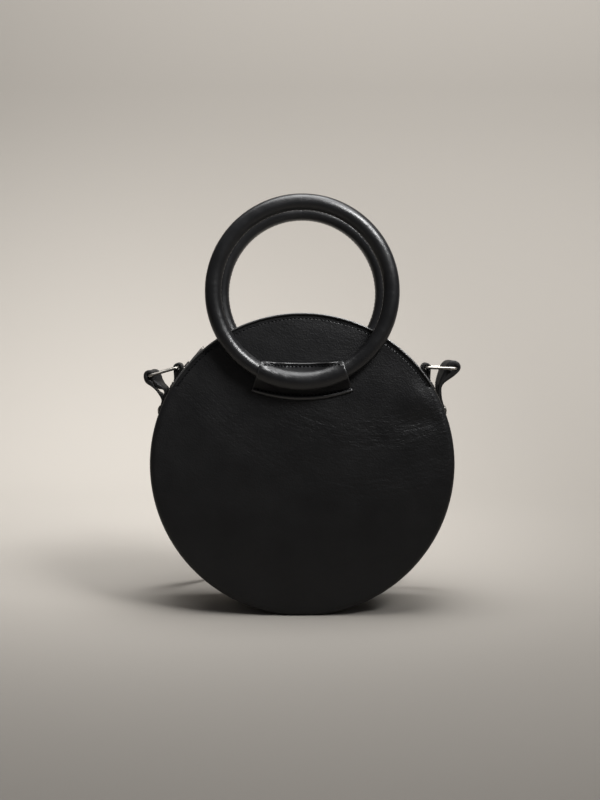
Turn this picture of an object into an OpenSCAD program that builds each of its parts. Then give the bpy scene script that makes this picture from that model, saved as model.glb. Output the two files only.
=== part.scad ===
// Round leather handbag with a pair of wrapped ring handles, an arched zip and a shoulder strap.
// It stands on its sole. +X is the bag's right as seen from the front, -Y is the front, +Z is up.

/* [Body] */
// Diameter across the rims
bag_d = 220; // [200:2:240]
// Depth from the front rim to the back rim
bag_depth = 70; // [60:2:84]
// How far each face swells out at its middle
face_crown = 3; // [1:0.5:5]
// Radius of the turned edge round the lower rim
rim_r = 5; // [4:0.5:6.5]
// Thickness of the outer leather
leather_t = 1.6; // [1.2:0.1:1.9]
// How far the sole is pressed flat
sole_sink = 1.2; // [1:0.1:2]
// Thickness of the board that stiffens each face
board_t = 1.2; // [0.8:0.1:1.6]
// Thickness of the lining cloth
lining_t = 0.6; // [0.4:0.1:0.8]

/* [Zip] */
// Angle of the arched opening, centred on the top
zip_span = 118; // [110:2:124]
// Width of the stitched groove between a face and the lip round the opening
groove_w = 2; // [1.5:0.1:2.5]
// Thickness of the lip
lip_t = 1.6; // [1.2:0.1:2]
// Distance from one tooth to the next
tooth_pitch = 2.6; // [2.4:0.1:3.6]
// Width of the closed teeth
chain_w = 6.6; // [6:0.2:7.6]
// Length of the pull from its pin to its tip
pull_l = 18; // [12:1:19]
// Width of the pull
pull_w = 5; // [4:0.5:7]

/* [Ring handles] */
// Outside diameter of a ring
ring_d = 137; // [125:1:141]
// Thickness of the wrapped tube
tube_d = 11.6; // [10:0.2:12.6]
// Thickness of the leather wrap
wrap_t = 1.2; // [0.8:0.1:1.6]
// Height of a ring's centre above the middle of the bag
ring_rise = 124.5; // [120:0.5:127]
// Thickness of the patch that holds a ring
keeper_t = 1.4; // [1:0.1:1.8]
// Width of the patch along its upper edge
keeper_top_w = 57; // [50:1:62]
// Width of the patch along its lower edge
keeper_bottom_w = 72; // [64:1:80]

/* [Strap] */
// Width of the shoulder strap
strap_w = 16; // [12:0.5:17]
// Thickness of the shoulder strap
strap_t = 2; // [1.6:0.1:2.2]
// Width of the side tabs
tab_w = 12; // [8:0.5:13]
// Thickness of the side tab's leather
tab_t = 1.6; // [1.2:0.1:2]
// Thickness of the wire links
wire_d = 2.2; // [1.8:0.1:2.6]
// Length of a wire link from bar to bar
link_length = 21.5; // [19:0.5:25]
// Diameter of a strap rivet's head
rivet_d = 6; // [4:0.5:8]

/* [Hidden] */
$fn = 96;

// Clearance between sewn or glued pieces, and between pieces that move on each other
seat = 0.1;
play = 0.3;
// Length by which a cut overruns
over = 2;
// Points along the curved part of a profile
arc_steps = 8;

// The body
bag_r = bag_d / 2;
half_depth = bag_depth / 2;
centre_z = bag_r - sole_sink;
crown_r = bag_r - rim_r;
seam_h = half_depth - rim_r;
gusset_step = 0.8;
gusset_r = bag_r - gusset_step;
gusset_in_r = gusset_r - leather_t;
board_gap = 3;
board_r = crown_r - board_gap;
lining_r = board_r + seat;

// The zip: the opening runs over the top between these two angles
zip_from = 90 - zip_span / 2;
zip_to = 90 + zip_span / 2;
// Angles from the opening's ends to the first tooth, the last tooth and the slider
first_tooth_angle = 14;
last_tooth_angle = 6;
slider_rest_angle = 9;
groove_r = bag_r - lip_t - groove_w;
flange_t = 1.2;
flange_h = half_depth - leather_t - 4 * seat;
flange_w = 3;
lip_drop = 0.4;
band_gap = 14;
tape_t = 0.8;
tape_w = 17;
tape_r = gusset_in_r - seat;
tape_lap_angle = 2;
tooth_t = 1.3;
tooth_h = 2.4;
chain_slot = 1.2;
chain_r = tape_r - tape_t / 2;
chain_out_r = chain_r + tooth_h / 2;
chain_in_r = chain_r - tooth_h / 2;
teeth_from = zip_from + first_tooth_angle;
teeth_to = zip_to - last_tooth_angle;
tooth_step = tooth_pitch / chain_r * 180 / PI;
tooth_count = floor((teeth_to - teeth_from) / tooth_step);
stop_t = 2.4;

// The slider and its pull
slider_l = 10;
slider_side = 1;
slider_w = chain_w + 2 * (play + slider_side);
slider_t = 1.4;
slider_post_t = 0.6;
slider_rest = zip_to - slider_rest_angle;
slider_out_r = chain_out_r + play;
slider_in_r = chain_in_r - play;
bail_l = 5;
bail_w = 1.6;
bail_bar = 0.9;
pin_d = 1.2;
pin_r = slider_out_r + slider_t + play + pin_d / 2;
bail_out_r = pin_r + pin_d / 2 + play + bail_bar;
bail_sweep = norm([bail_l / 2, bail_out_r - pin_r]) + play;
pull_t = 1.2;
pull_arm = 1.1;
pull_neck = 2.6;

// The rings and their patches
ring_r = (ring_d - tube_d) / 2;
tube_r = tube_d / 2;
core_r = tube_r - wrap_t - seat;
seam_ridge_r = 0.5;
seam_ridge_height = 0.3;
seam_ridge_angle = 135;
ring_foot_r = ring_rise - ring_r;
ring_h = face_h(ring_foot_r) + play + tube_r;
keeper_in_r = tube_r + seam_ridge_height + 2 * seat;
keeper_out_r = keeper_in_r + keeper_t;
keeper_top_bow = 4.8;
keeper_bottom_bow = 7.2;
keeper_top_lap = 2.6;
keeper_bottom_lap = 6.8;
keeper_top = -(ring_r - keeper_out_r - keeper_top_lap);
keeper_bottom = -(ring_r + keeper_out_r + keeper_bottom_lap);

// The side tabs and links: a tab holds the inner bar over the end of the opening
wire_r = wire_d / 2;
tab_angle = zip_from + 6.2;
tab_bar_rise = 6.1;
tab_bar = polar(tab_angle, gusset_r + tab_bar_rise);
tab_foot_angle = zip_from - 2.3;
tab_lap_angle = zip_from + 2;
link_corner_r = 2.4;
bend_steps = 5;
wire_sides = 16;
link_in_half = tab_w / 2 + play + wire_r + link_corner_r / 2;
link_out_half = strap_w / 2 + play + wire_r + link_corner_r / 2;
right_droop_angle = 1.5;
left_droop_angle = 16;

// The strap ends: both plies meet under the link, carry a rivet and lie against the gusset
strap_clear = 0.7;
strap_ply_r = gusset_r + strap_clear + strap_t;
strap_meet_angle = zip_from - 5.5;
strap_meet_rise = 3.2;
strap_meet = polar(strap_meet_angle, strap_ply_r + strap_meet_rise);
belly_top = [-12, 0];
belly_foot = [-5, 9];
belly_steps = 14;
loop_lap_share = 0.2;
strap_rivet_angle = zip_from - 9.4;
strap_tip_angle = zip_from - 12.6;
rivet_shank_d = 2.4;
rivet_dome = 1.4;
rivet_cap_t = 0.4;
rivet_angle = (strap_rivet_angle + strap_tip_angle) / 2;
rivet_seat = strap_t + seat;

// The strap's way from each strap end down behind the bag and on its edge to the coil
right_run = [
  [106.7, 0.5, 139], [109.6, 4, 128], [112, 10, 115], [112.8, 19, 99], [111.6, 30, 81], [107, 40, 62],
  [98, 47, 42], [84, 51, 24], [65, 52, 12], [42, 51, 8], [20, 49.5, 8]
];
left_run = [
  [-106.7, 0.5, 139], [-109.6, 4, 128], [-112, 10, 115], [-112.8, 19, 99], [-112, 31, 80],
  [-108, 44, 60], [-99, 57, 39], [-86, 70, 20], [-72, 84, 10], [-58, 99, 8], [-43, 113, 8],
  [-24, 125.5, 8]
];
run_smoothing = 3;
// Where a strap end lies above the start of its route, the way there follows the gusset in steps
run_from_angle = 17;
run_step_angle = 4;
// Share of a run at which the strap starts and ends its turn on to its edge
run_turn_shares = [0.3, 0.75];

// The coil: both halves of the strap wind in side by side and join in an S at the middle
coil_y = 90;
coil_r = 41;
coil_layer = 6.5;
coil_core_r = 14;
coil_steps = 24;
strap_edge_r = 0.8;
coil_turns = (coil_r - coil_core_r) / (2 * coil_layer);

// Height of a face's outer surface over the middle of the bag's depth
function face_h(r) = half_depth + face_crown * (1 - pow(min(r, crown_r) / crown_r, 2));
function polar(a, r) = [r * cos(a), r * sin(a)];
function unit(v) = v / norm(v);
function side(v) = [-v[1], v[0]];
function mix(a, b, s) = a * (1 - s) + b * s;
function arc(c, r, a0, a1) = [for (i = [0:arc_steps]) c + polar(a0 + (a1 - a0) * i / arc_steps, r)];
// Points of the crowned surface from r0 to r1, set out by d
function crown_line(r0, r1, d) =
  [for (i = [0:arc_steps]) let(r = mix(r0, r1, i / arc_steps)) [r, face_h(r) + d]];
function backwards(p) = [for (i = [len(p) - 1:-1:0]) p[i]];
function bowed(w, z, bow) =
  [for (i = [0:arc_steps]) let(s = 2 * i / arc_steps - 1) [s * w / 2, z + bow * s * s]];

// Revolves a profile of radius and forward height about the bag's own axis
module turned(from = 0, to = 360)
  translate([0, 0, centre_z]) rotate([90, 0, 0]) rotate([0, 0, from])
    rotate_extrude(angle = to - from) children();

// The same about a ring's axis
module turned_on_ring()
  translate([0, 0, centre_z + ring_rise]) rotate([90, 0, 0]) rotate_extrude() children();

// Extrudes an outline drawn in the face's plane, centred on the bag's middle
module across(w) translate([0, w / 2, centre_z]) rotate([90, 0, 0]) linear_extrude(w) children();

// Places a piece at an angle round the gusset, with X pointing outwards
module at_angle(a) translate([0, 0, centre_z]) rotate([0, -a, 0]) children();
module to_back() mirror([0, 1, 0]) children();
module to_left() mirror([1, 0, 0]) children();
module on_floor_cut() difference() {
  children();
  translate([-bag_r, -bag_depth, -bag_r]) cube([bag_d, 2 * bag_depth, bag_r]);
}

module panel_profile() polygon(concat(
  crown_line(0, crown_r, 0),
  arc([crown_r, seam_h], rim_r, 90, 0),
  arc([crown_r, seam_h], rim_r - leather_t, 0, 90),
  backwards(crown_line(0, crown_r, -leather_t))
));

module panel() on_floor_cut() difference() {
  turned() panel_profile();
  turned(zip_from, zip_to) translate([groove_r, 0]) square([bag_r, bag_depth]);
}

module crowned_layer(r, d, t) turned() polygon(concat(
  crown_line(0, r, -d), backwards(crown_line(0, r, -d - t))
));

module stiffener() crowned_layer(board_r, leather_t + seat, board_t);
module face_lining() crowned_layer(lining_r, leather_t + board_t + 2 * seat, lining_t);

module hoop(r, t, h0, h1, from, to)
  turned(from, to) translate([r - t, h0]) square([t, h1 - h0]);

// A zip band runs from the zip to the lip, with a flange under the face's edge
module zip_band() turned(zip_from, zip_to) polygon(concat(
  [[gusset_in_r, band_gap / 2], [gusset_r, band_gap / 2], [gusset_r, seam_h - seat]],
  [[bag_r, seam_h + gusset_step - seat]],
  arc([bag_r - lip_t / 2, half_depth - lip_drop - lip_t / 2], lip_t / 2, 0, 180),
  [[bag_r - lip_t, flange_h], [groove_r - flange_w, flange_h]],
  [[groove_r - flange_w, flange_h - flange_t], [gusset_in_r, flange_h - flange_t]]
));

module zip_tape() union() {
  lap = tape_lap_angle;
  inner = chain_w / 2 + seat;
  for (ends = [[zip_from - lap, teeth_from - lap], [teeth_to + lap, zip_to + lap]])
    hoop(tape_r, tape_t, chain_slot / 4, inner, ends[0], ends[1]);
  hoop(tape_r, tape_t, inner, inner + tape_w, zip_from - lap, zip_to + lap);
}

module tooth_row(offset) for (i = [0:tooth_count - 1])
  at_angle(teeth_from + (i + offset) * tooth_step)
    translate([chain_in_r, -chain_w / 2, -tooth_t / 2])
      cube([tooth_h, (chain_w - chain_slot) / 2, tooth_t]);

// One wide stop closes the right end, and two narrow ones the left end
module stops() {
  at_angle(teeth_from - tape_lap_angle / 2) translate([chain_in_r, -chain_w / 2, -stop_t / 2])
    cube([tooth_h, chain_w, stop_t / 2]);
  for (flip = [0, 1]) mirror([0, flip, 0])
    at_angle(teeth_to + tape_lap_angle / 2) translate([chain_in_r, -chain_w / 2, 0])
      cube([tooth_h, (chain_w - chain_slot) / 2, stop_t / 2]);
}

// The slider is bent to the arch, so that it rides the chain with an even gap
module slider() {
  half = slider_l / 2 / chain_r * 180 / PI;
  ends = [slider_rest - half, slider_rest + half];
  bail_half = bail_l / 2 / chain_r * 180 / PI;
  post_half = bail_half / 2;
  lid_drop = slider_out_r - tape_r - play;
  floor_rise = tape_r - tape_t - play - slider_in_r;
  difference() {
    union() {
      for (plate = [[slider_out_r + slider_t, slider_t], [slider_in_r, slider_t]])
        hoop(plate[0], plate[1], -slider_w / 2, slider_w / 2, ends[0], ends[1]);
      for (edge = [-slider_w / 2, slider_w / 2 - slider_side]) {
        hoop(slider_out_r + seat, lid_drop + seat, edge, edge + slider_side, ends[0], ends[1]);
        hoop(slider_in_r + floor_rise, floor_rise + seat, edge, edge + slider_side, ends[0], ends[1]);
      }
      hoop(slider_out_r + seat, slider_out_r - slider_in_r + 2 * seat, -slider_post_t / 2, slider_post_t / 2,
        slider_rest - post_half, slider_rest + post_half);
      hoop(bail_out_r, bail_out_r - slider_out_r - seat, -bail_w / 2, bail_w / 2,
        slider_rest - bail_half, slider_rest + bail_half);
    }
    at_angle(slider_rest) translate([pin_r, 0, 0]) {
      rotate([90, 0, 0]) cylinder(d = pin_d + 2 * play, h = bail_w + over, center = true);
      translate([0, 0, pin_d / 2]) cube([pin_d + 2 * play, bail_w + over, pin_d], center = true);
    }
  }
}

// The pull lies along the zip, and its pin runs through the slider's bail
module pull() at_angle(slider_rest) translate([pin_r, 0, 0]) {
  arm_y = bail_w / 2 + play;
  rotate([90, 0, 0]) cylinder(d = pin_d, h = 2 * (arm_y + pull_arm), center = true);
  for (flip = [0, 1]) mirror([0, flip, 0]) translate([-pin_d / 2, arm_y, -pull_neck - bail_sweep])
    cube([pin_d, pull_arm, pull_neck + bail_sweep]);
  translate([-pull_t / 2, 0, 0]) rotate([0, 90, 0]) linear_extrude(pull_t) difference() {
    union() {
      translate([bail_sweep, -arm_y - pull_arm]) square([pull_neck, 2 * (arm_y + pull_arm)]);
      translate([bail_sweep + pull_neck, -pull_w / 2])
        square([pull_l - bail_sweep - pull_neck - pull_w / 2, pull_w]);
      translate([pull_l - pull_w / 2, 0]) circle(d = pull_w);
    }
    translate([pull_l - pull_w / 2, 0]) circle(d = pull_w / 3);
  }
}

module ring_core() turned_on_ring() translate([ring_r, ring_h]) circle(core_r);

module ring_wrap() turned_on_ring() translate([ring_r, ring_h]) difference() {
  union() {
    circle(tube_r);
    translate(polar(seam_ridge_angle, tube_r - seam_ridge_r + seam_ridge_height)) circle(seam_ridge_r);
  }
  circle(core_r + seat);
}

module channel_profile(r) {
  translate([ring_r, ring_h]) circle(r);
  translate([ring_r - r, 0]) square([2 * r, ring_h]);
}

// The patch is sewn down above and below the ring's foot and stands over it between
module keeper() difference() {
  intersection() {
    translate([0, 0, ring_rise]) across(2 * (ring_h + tube_d)) polygon(concat(
      backwards(bowed(keeper_top_w, keeper_top, keeper_top_bow)),
      bowed(keeper_bottom_w, keeper_bottom, keeper_bottom_bow)
    ));
    union() {
      turned(zip_from, zip_to) polygon(concat(
        crown_line(0, crown_r, keeper_t + seat), [[crown_r, half_depth - over], [0, half_depth - over]]
      ));
      turned_on_ring() intersection() {
        channel_profile(keeper_out_r);
        translate([ring_r - keeper_out_r, half_depth]) square(2 * (ring_h + tube_d));
      }
    }
  }
  turned_on_ring() channel_profile(keeper_in_r);
  turned() polygon(concat(
    crown_line(0, crown_r, seat), [[crown_r, 0], [0, 0]]
  ));
}

// A strip folded round a bar of radius bar_r, whose two plies of thickness t meet at meet
module fold(bar, meet, bar_r, t) {
  way = unit(meet - bar);
  reach = norm(meet - bar);
  lean_out = bar_r / reach;
  lean_in = bar_r / reach;
  out = [for (s = [-1, 1]) way * lean_out + side(way) * s * sqrt(1 - lean_out * lean_out)];
  difference() {
    union() {
      translate(bar) circle(bar_r + t);
      polygon([bar + out[0] * (bar_r + t), meet + out[0] * t, meet + out[1] * t, bar + out[1] * (bar_r + t)]);
    }
    translate(bar) circle(bar_r);
    polygon([bar + out[0] * bar_r, meet, bar + out[1] * bar_r]);
  }
}

module tab() difference() {
  across(tab_w) {
    fold(tab_bar, polar(tab_lap_angle, gusset_r + seat + tab_t), wire_r + play, tab_t);
    difference() {
      circle(gusset_r + seat + 2 * tab_t);
      circle(gusset_r + seat);
      for (cut = [[tab_foot_angle, -90], [tab_lap_angle, 90]])
        rotate(cut[0] + (cut[1] > 0 ? 0 : -180)) translate([-bag_d, 0]) square(2 * bag_d);
    }
  }
  turned() translate([0, -half_depth]) square([gusset_r + seat, bag_depth]);
}

// The line through the corners given, each rounded to radius r
function rounded(corners, r) = let(n = len(corners)) [for (i = [0:n - 1]) let(
    before = unit(corners[i] - corners[(i + n - 1) % n]),
    after = unit(corners[(i + 1) % n] - corners[i]),
    turn = acos(before * after),
    middle = corners[i] - before * r * tan(turn / 2) + side(before) * r,
    from = atan2(-side(before)[1], -side(before)[0])
  ) for (j = [0:bend_steps]) middle + polar(from + turn * j / bend_steps, r)];

// A closed loop of round wire along the points of p
module wire_loop(p) {
  n = len(p);
  k = wire_sides;
  polyhedron([for (i = [0:n - 1]) let(out = side(unit(p[(i + 1) % n] - p[(i + n - 1) % n])))
    for (j = [0:k - 1]) let(q = polar(360 * j / k, wire_r), here = p[i] + out * q[0]) [here[0], here[1], q[1]]
  ], [for (i = [0:n - 1]) for (j = [0:k - 1])
    let(a = i * k, b = (i + 1) % n * k, c = (j + 1) % k) each [[a + j, b + j, a + c], [a + c, b + j, b + c]]
  ]);
}

module at_link(droop)
  translate([tab_bar[0], 0, tab_bar[1] + centre_z]) rotate([0, droop, 0]) children();

module link(droop) at_link(droop) wire_loop(rounded([
  [0, -link_in_half], [link_length, -link_out_half], [link_length, link_out_half], [0, link_in_half]
], link_corner_r));

// The line p set over to its left by d
function beside(p, d) = let(m = len(p) - 1)
  [for (i = [0:m]) p[i] + side(unit(p[min(i + 1, m)] - p[max(i - 1, 0)])) * d];

// The loop of the strap: up the outer ply, over the bar, and round in a belly to the inner ply
function loop_line(bar, meet) = let(
    r = wire_r + play + strap_t / 2,
    way = unit(meet - bar),
    outer = atan2(way[1], way[0]) + 90,
    half = polar(outer, strap_t / 2),
    top = bar + [0, r]
  ) concat(
    [meet + half],
    [for (i = [0:arc_steps]) bar + polar(mix(outer, 90, i / arc_steps), r)],
    [for (i = [1:belly_steps]) let(s = i / belly_steps, q = 1 - s)
      top * pow(q, 3) + (top + belly_top) * 3 * q * q * s
        + (meet + belly_foot) * 3 * q * s * s + (meet - half) * pow(s, 3)]
  );

module strap_loop(line) {
  tail = (polar(strap_rivet_angle, strap_ply_r) - strap_meet) * loop_lap_share;
  outer = beside(line, -strap_t / 2);
  difference() {
    polygon(concat([outer[0] + tail], outer, [outer[len(outer) - 1] + tail]));
    polygon(concat([strap_meet], beside(line, strap_t / 2)));
  }
}

module strap_tail() difference() {
  circle(strap_ply_r + strap_t);
  circle(strap_ply_r - strap_t);
  rotate(strap_tip_angle) translate([-bag_d, -2 * bag_d]) square(2 * bag_d);
  rotate(strap_rivet_angle) translate([-bag_d, 0]) square(2 * bag_d);
}

// The end of the strap goes round the link's outer bar and back down on itself
module strap_end(droop) difference() {
  across(strap_w) {
    strap_loop(loop_line(tab_bar + polar(-droop, link_length), strap_meet));
    strap_tail();
    polygon([
      polar(strap_rivet_angle, strap_ply_r + strap_t), strap_meet + unit(strap_meet) * strap_t,
      strap_meet - unit(strap_meet) * strap_t, polar(strap_rivet_angle, strap_ply_r - strap_t)
    ]);
  }
  at_angle(rivet_angle) rotate([0, 90, 0]) cylinder(d = rivet_shank_d + 2 * seat, h = bag_d);
}

module strap_rivet() at_angle(rivet_angle) translate([strap_ply_r, 0, 0]) rotate([0, 90, 0])
  rotate_extrude() polygon(concat(
    [[0, -rivet_seat - rivet_cap_t], [rivet_shank_d, -rivet_seat - rivet_cap_t]],
    [[rivet_shank_d, -rivet_seat], [rivet_shank_d / 2, -rivet_seat], [rivet_shank_d / 2, rivet_seat]],
    [for (i = [0:arc_steps]) let(a = 90 * i / arc_steps)
      [rivet_d / 2 * cos(a), rivet_seat + rivet_dome * sin(a)]]
  ));

// Eight-sided section of the flat strap: half its thickness and half its width, with eased edges
function strap_section() = let(a = strap_t / 2, b = strap_w / 2, e = strap_edge_r) [
  [a, b - e], [a - e / 2, b], [e / 2 - a, b], [-a, b - e],
  [-a, e - b], [e / 2 - a, -b], [a - e / 2, -b], [a, e - b]
];

// Rings of a strap along p, whose width lies along broad; its ends face along first and last
function ways(p, first, last) = let(m = len(p) - 1)
  [for (i = [0:m]) i == 0 ? first : i == m ? last : unit(p[i + 1] - p[i - 1])];
function strap_rings(p, broad, t) = [for (i = [0:len(p) - 1])
  let(b = unit(broad[i] - t[i] * (broad[i] * t[i])), n = cross(t[i], b))
    [for (q = strap_section()) p[i] + n * q[0] + b * q[1]]];
function joined(lists) = [for (l = lists) for (x = l) x];

module strap_solid(p, broad, first, last) {
  k = len(strap_section());
  m = len(p);
  polyhedron(joined(strap_rings(p, broad, ways(p, first, last))), concat(
    [[for (j = [0:k - 1]) j]],
    [for (i = [0:m - 2]) for (j = [0:k - 1]) let(a = i * k + j, b = i * k + (j + 1) % k)
      each [[a, a + k, b], [b, a + k, b + k]]],
    [[for (j = [k - 1:-1:0]) (m - 1) * k + j]]
  ));
}

// A smooth line through the points of a route
function smooth(p, n) = concat([for (i = [0:len(p) - 2]) for (j = [0:n - 1])
  let(s = j / n, a = p[max(i - 1, 0)], b = p[i], c = p[i + 1], d = p[min(i + 2, len(p) - 1)])
    b + (c - a) * s / 2 + (a * 2 - b * 5 + c * 4 - d) * s * s / 2 + (b * 3 - a - c * 3 + d) * s * s * s / 2],
  [p[len(p) - 1]]);
function eased(s) = let(c = max(0, min(1, s))) c * c * (3 - 2 * c);

// A run leaves the strap's tip on side s (1 right, -1 left) and ends just short of the coil's mouth
module strap_run(route, s) {
  tip = polar(strap_tip_angle, strap_ply_r - strap_t / 2) + [0, centre_z];
  down = [s * sin(strap_tip_angle), 0, -cos(strap_tip_angle)];
  mouth = s * coil_way();
  line = smooth(concat(
    [[s * tip[0], 0, tip[1]] + down * play],
    [for (a = [strap_tip_angle - run_step_angle:-run_step_angle:run_from_angle])
      let(q = polar(a, strap_ply_r - strap_t / 2)) [s * q[0], 0, q[1] + centre_z]],
    [for (q = route) if (q[2] < tip[1] - strap_w / 4) q],
    [[0, coil_y - s * coil_r, strap_w / 2] - mouth * play]
  ), run_smoothing);
  last = len(line) - 1;
  broad = [for (i = [0:last])
    let(t = eased((i / last - run_turn_shares[0]) / (run_turn_shares[1] - run_turn_shares[0])))
      [0, cos(90 * t), sin(90 * t)]];
  strap_solid(line, broad, down, mouth);
}

// One arm of the coil winds in clockwise, from the front; the other is the same turned half round
function coil_arm() = [for (i = [0:round(coil_turns * coil_steps)])
  let(a = -90 - 360 * i / coil_steps, r = coil_r - 2 * coil_layer * i / coil_steps)
    [r * cos(a), r * sin(a)]];
function coil_heart() = let(arm = coil_arm(), tip = arm[len(arm) - 1])
  [for (i = [1:coil_steps / 2 - 1]) let(a = -360 * i / coil_steps)
    tip / 2 + [tip[0] * cos(a) - tip[1] * sin(a), tip[0] * sin(a) + tip[1] * cos(a)] / 2];
function coil_line() = let(arm = coil_arm(), heart = coil_heart())
  [for (q = concat(arm, heart, [[0, 0]], -backwards(heart), -backwards(arm)))
    [q[0], q[1] + coil_y, strap_w / 2]];

// The way the right half enters the coil, at its front
function coil_way() = unit([-coil_r, coil_layer / PI, 0]);
function line_length(p) = len(p) < 2 ? 0 : norm(p[1] - p[0]) + line_length([for (i = [1:len(p) - 1]) p[i]]);

module coil() {
  line = coil_line();
  apart = coil_steps / 2;
  echo(coil_strap_length = line_length(line), least_gap_between_turns = min([
    for (i = [0:len(line) - 1]) for (j = [i + apart:len(line) - 1]) norm(line[i] - line[j])
  ]) - strap_t);
  strap_solid(line, [for (q = line) [0, 0, 1]], coil_way(), coil_way());
}

module front_panel() color("#1c1c1e") panel();
module back_panel() color("#1c1c1e") to_back() panel();
module front_stiffener() color("#8a7a62") stiffener();
module back_stiffener() color("#8a7a62") to_back() stiffener();
module front_lining() color("#3a3a3e") face_lining();
module back_lining() color("#3a3a3e") to_back() face_lining();
module gusset() color("#202022") on_floor_cut()
  hoop(gusset_r, leather_t, seat - seam_h, seam_h - seat, zip_to, zip_from + 360);
module gusset_lining() color("#3a3a3e")
  hoop(gusset_in_r - seat, lining_t, seat - seam_h, seam_h - seat,
    zip_to + 2 * tape_lap_angle, zip_from + 360 - 2 * tape_lap_angle);
module front_zip_band() color("#202022") zip_band();
module back_zip_band() color("#202022") to_back() zip_band();
module front_zip_tape() color("#29292c") zip_tape();
module back_zip_tape() color("#29292c") to_back() zip_tape();
module front_zip_teeth() color("#b9bbc0") tooth_row(0);
module back_zip_teeth() color("#b9bbc0") to_back() tooth_row(0.5);
module zip_stops() color("#b9bbc0") stops();
module zip_slider() color("#c9cbd0") slider();
module zip_pull() color("#c9cbd0") pull();
module front_keeper() color("#242426") keeper();
module back_keeper() color("#242426") to_back() keeper();
module front_ring_core() color("#a58a5c") ring_core();
module back_ring_core() color("#a58a5c") to_back() ring_core();
module front_ring_wrap() color("#1e1e20") ring_wrap();
module back_ring_wrap() color("#1e1e20") to_back() ring_wrap();
module right_tab() color("#242426") tab();
module left_tab() color("#242426") to_left() tab();
module right_link() color("#d3d5d9") link(right_droop_angle);
module left_link() color("#d3d5d9") to_left() link(left_droop_angle);
module right_strap_end() color("#242426") strap_end(right_droop_angle);
module left_strap_end() color("#242426") to_left() strap_end(left_droop_angle);
module right_strap_rivet() color("#d3d5d9") strap_rivet();
module left_strap_rivet() color("#d3d5d9") to_left() strap_rivet();
module right_strap_run() color("#242426") strap_run(right_run, 1);
module left_strap_run() color("#242426") strap_run(left_run, -1);
module strap_coil() color("#242426") coil();

front_panel();
back_panel();
front_stiffener();
back_stiffener();
front_lining();
back_lining();
gusset();
gusset_lining();
front_zip_band();
back_zip_band();
front_zip_tape();
back_zip_tape();
front_zip_teeth();
back_zip_teeth();
zip_stops();
zip_slider();
zip_pull();
front_keeper();
back_keeper();
front_ring_core();
front_ring_wrap();
back_ring_core();
back_ring_wrap();
left_tab();
right_tab();
left_link();
right_link();
left_strap_end();
right_strap_end();
left_strap_rivet();
right_strap_rivet();
left_strap_run();
right_strap_run();
strap_coil();
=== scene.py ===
import math

import bmesh
import bpy
import numpy as np
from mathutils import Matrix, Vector, noise


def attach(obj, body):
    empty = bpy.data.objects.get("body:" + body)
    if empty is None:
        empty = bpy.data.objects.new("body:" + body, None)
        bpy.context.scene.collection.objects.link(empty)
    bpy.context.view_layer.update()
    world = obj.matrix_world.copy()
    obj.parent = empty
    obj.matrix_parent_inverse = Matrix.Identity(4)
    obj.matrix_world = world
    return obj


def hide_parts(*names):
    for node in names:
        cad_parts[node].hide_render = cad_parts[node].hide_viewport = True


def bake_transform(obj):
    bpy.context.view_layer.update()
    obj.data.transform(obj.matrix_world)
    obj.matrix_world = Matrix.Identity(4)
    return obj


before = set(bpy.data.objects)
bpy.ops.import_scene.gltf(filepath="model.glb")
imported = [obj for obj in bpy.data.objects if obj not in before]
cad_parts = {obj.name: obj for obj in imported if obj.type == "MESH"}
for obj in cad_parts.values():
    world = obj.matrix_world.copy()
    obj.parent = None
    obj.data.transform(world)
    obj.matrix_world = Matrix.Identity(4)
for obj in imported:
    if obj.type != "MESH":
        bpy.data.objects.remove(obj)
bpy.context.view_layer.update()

# Round leather handbag with two wrapped ring handles, an arched zip and a strap on wire links.
# Sizes are in millimetres and angles in degrees, as in the part's source; meshes are in metres.
MM = 0.001
ACROSS = np.array([0.0, 1, 0])

# The camera: its place in metres, how far it looks down, and its lens
CAMERA_AT = (-0.0016, -0.843, 0.2168)
CAMERA_TILT = 4.26
CAMERA_LENS = 51.03

# A piece that is sewn or glued on stands off by the seat, and one that moves by the play
SEAT, PLAY = 0.1, 0.3

# The body
BAG_R = 110
HALF_DEPTH = 35
CROWN = 3
RIM_R = 5
LEATHER = 1.6
CENTRE_Z = 108.8
CROWN_R = BAG_R - RIM_R
SEAM_H = HALF_DEPTH - RIM_R
GUSSET_R = 109.2
BOARD = 1.2
LINING_R = 101.9
LINING_T = 0.5

# The zip's opening and the stitched groove along it
ZIP_FROM, ZIP_TO = 31, 149
GROOVE_R = 106.1
LIP_R = 109.35
LIP_T = 1.3
FLANGE_H = 33
FLANGE_T = 1.2
FLANGE_W = 3
BAND_H = 7
TAPE_R = 107.5
TAPE_T = 0.8
TAPE_W = 20.4
TAPE_GAP = 0.35
CHAIN_R = 107.1
CHAIN_W = 6.6
TEETH_FROM, TEETH_TO = 45, 143
TOOTH_PITCH = 2.6
TOOTH_T, TOOTH_H, TOOTH_L = 1.3, 2.4, 2.95

# A tooth's head: its size as a share of the tooth's section, and its place as a share of its length
HEAD_SIZE, HEAD_PLACE = 1.25, -0.3

# The rings, with the seam's place round the tube and the joint's place round the ring
RING_Z = CENTRE_Z + 124.5
RING_R = 62.7
RING_H = 43.06
TUBE_R = 5.8
SEAM_ANGLE = 163
JOINT_ANGLE = 90

# The patches over the rings' feet
PATCH_T = 1.4
PATCH_OUT_R = 7.5

# A patch's upper and lower edge, from the ring's middle: half width, height, and rise of the ends
PATCH_TOP = (28.6, -50, 1.7)
PATCH_LOW = (36.2, -76.6, 6.4)

# How far its seams lie from its edges, and the reach from the ring's middle and the width over
# which its upper edge climbs the tube
PATCH_SEW_TOP, PATCH_SEW_LOW = 3.0, 3.6
PATCH_CLIMB_R, PATCH_CLIMB_W = 53.1, 3.2

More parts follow.
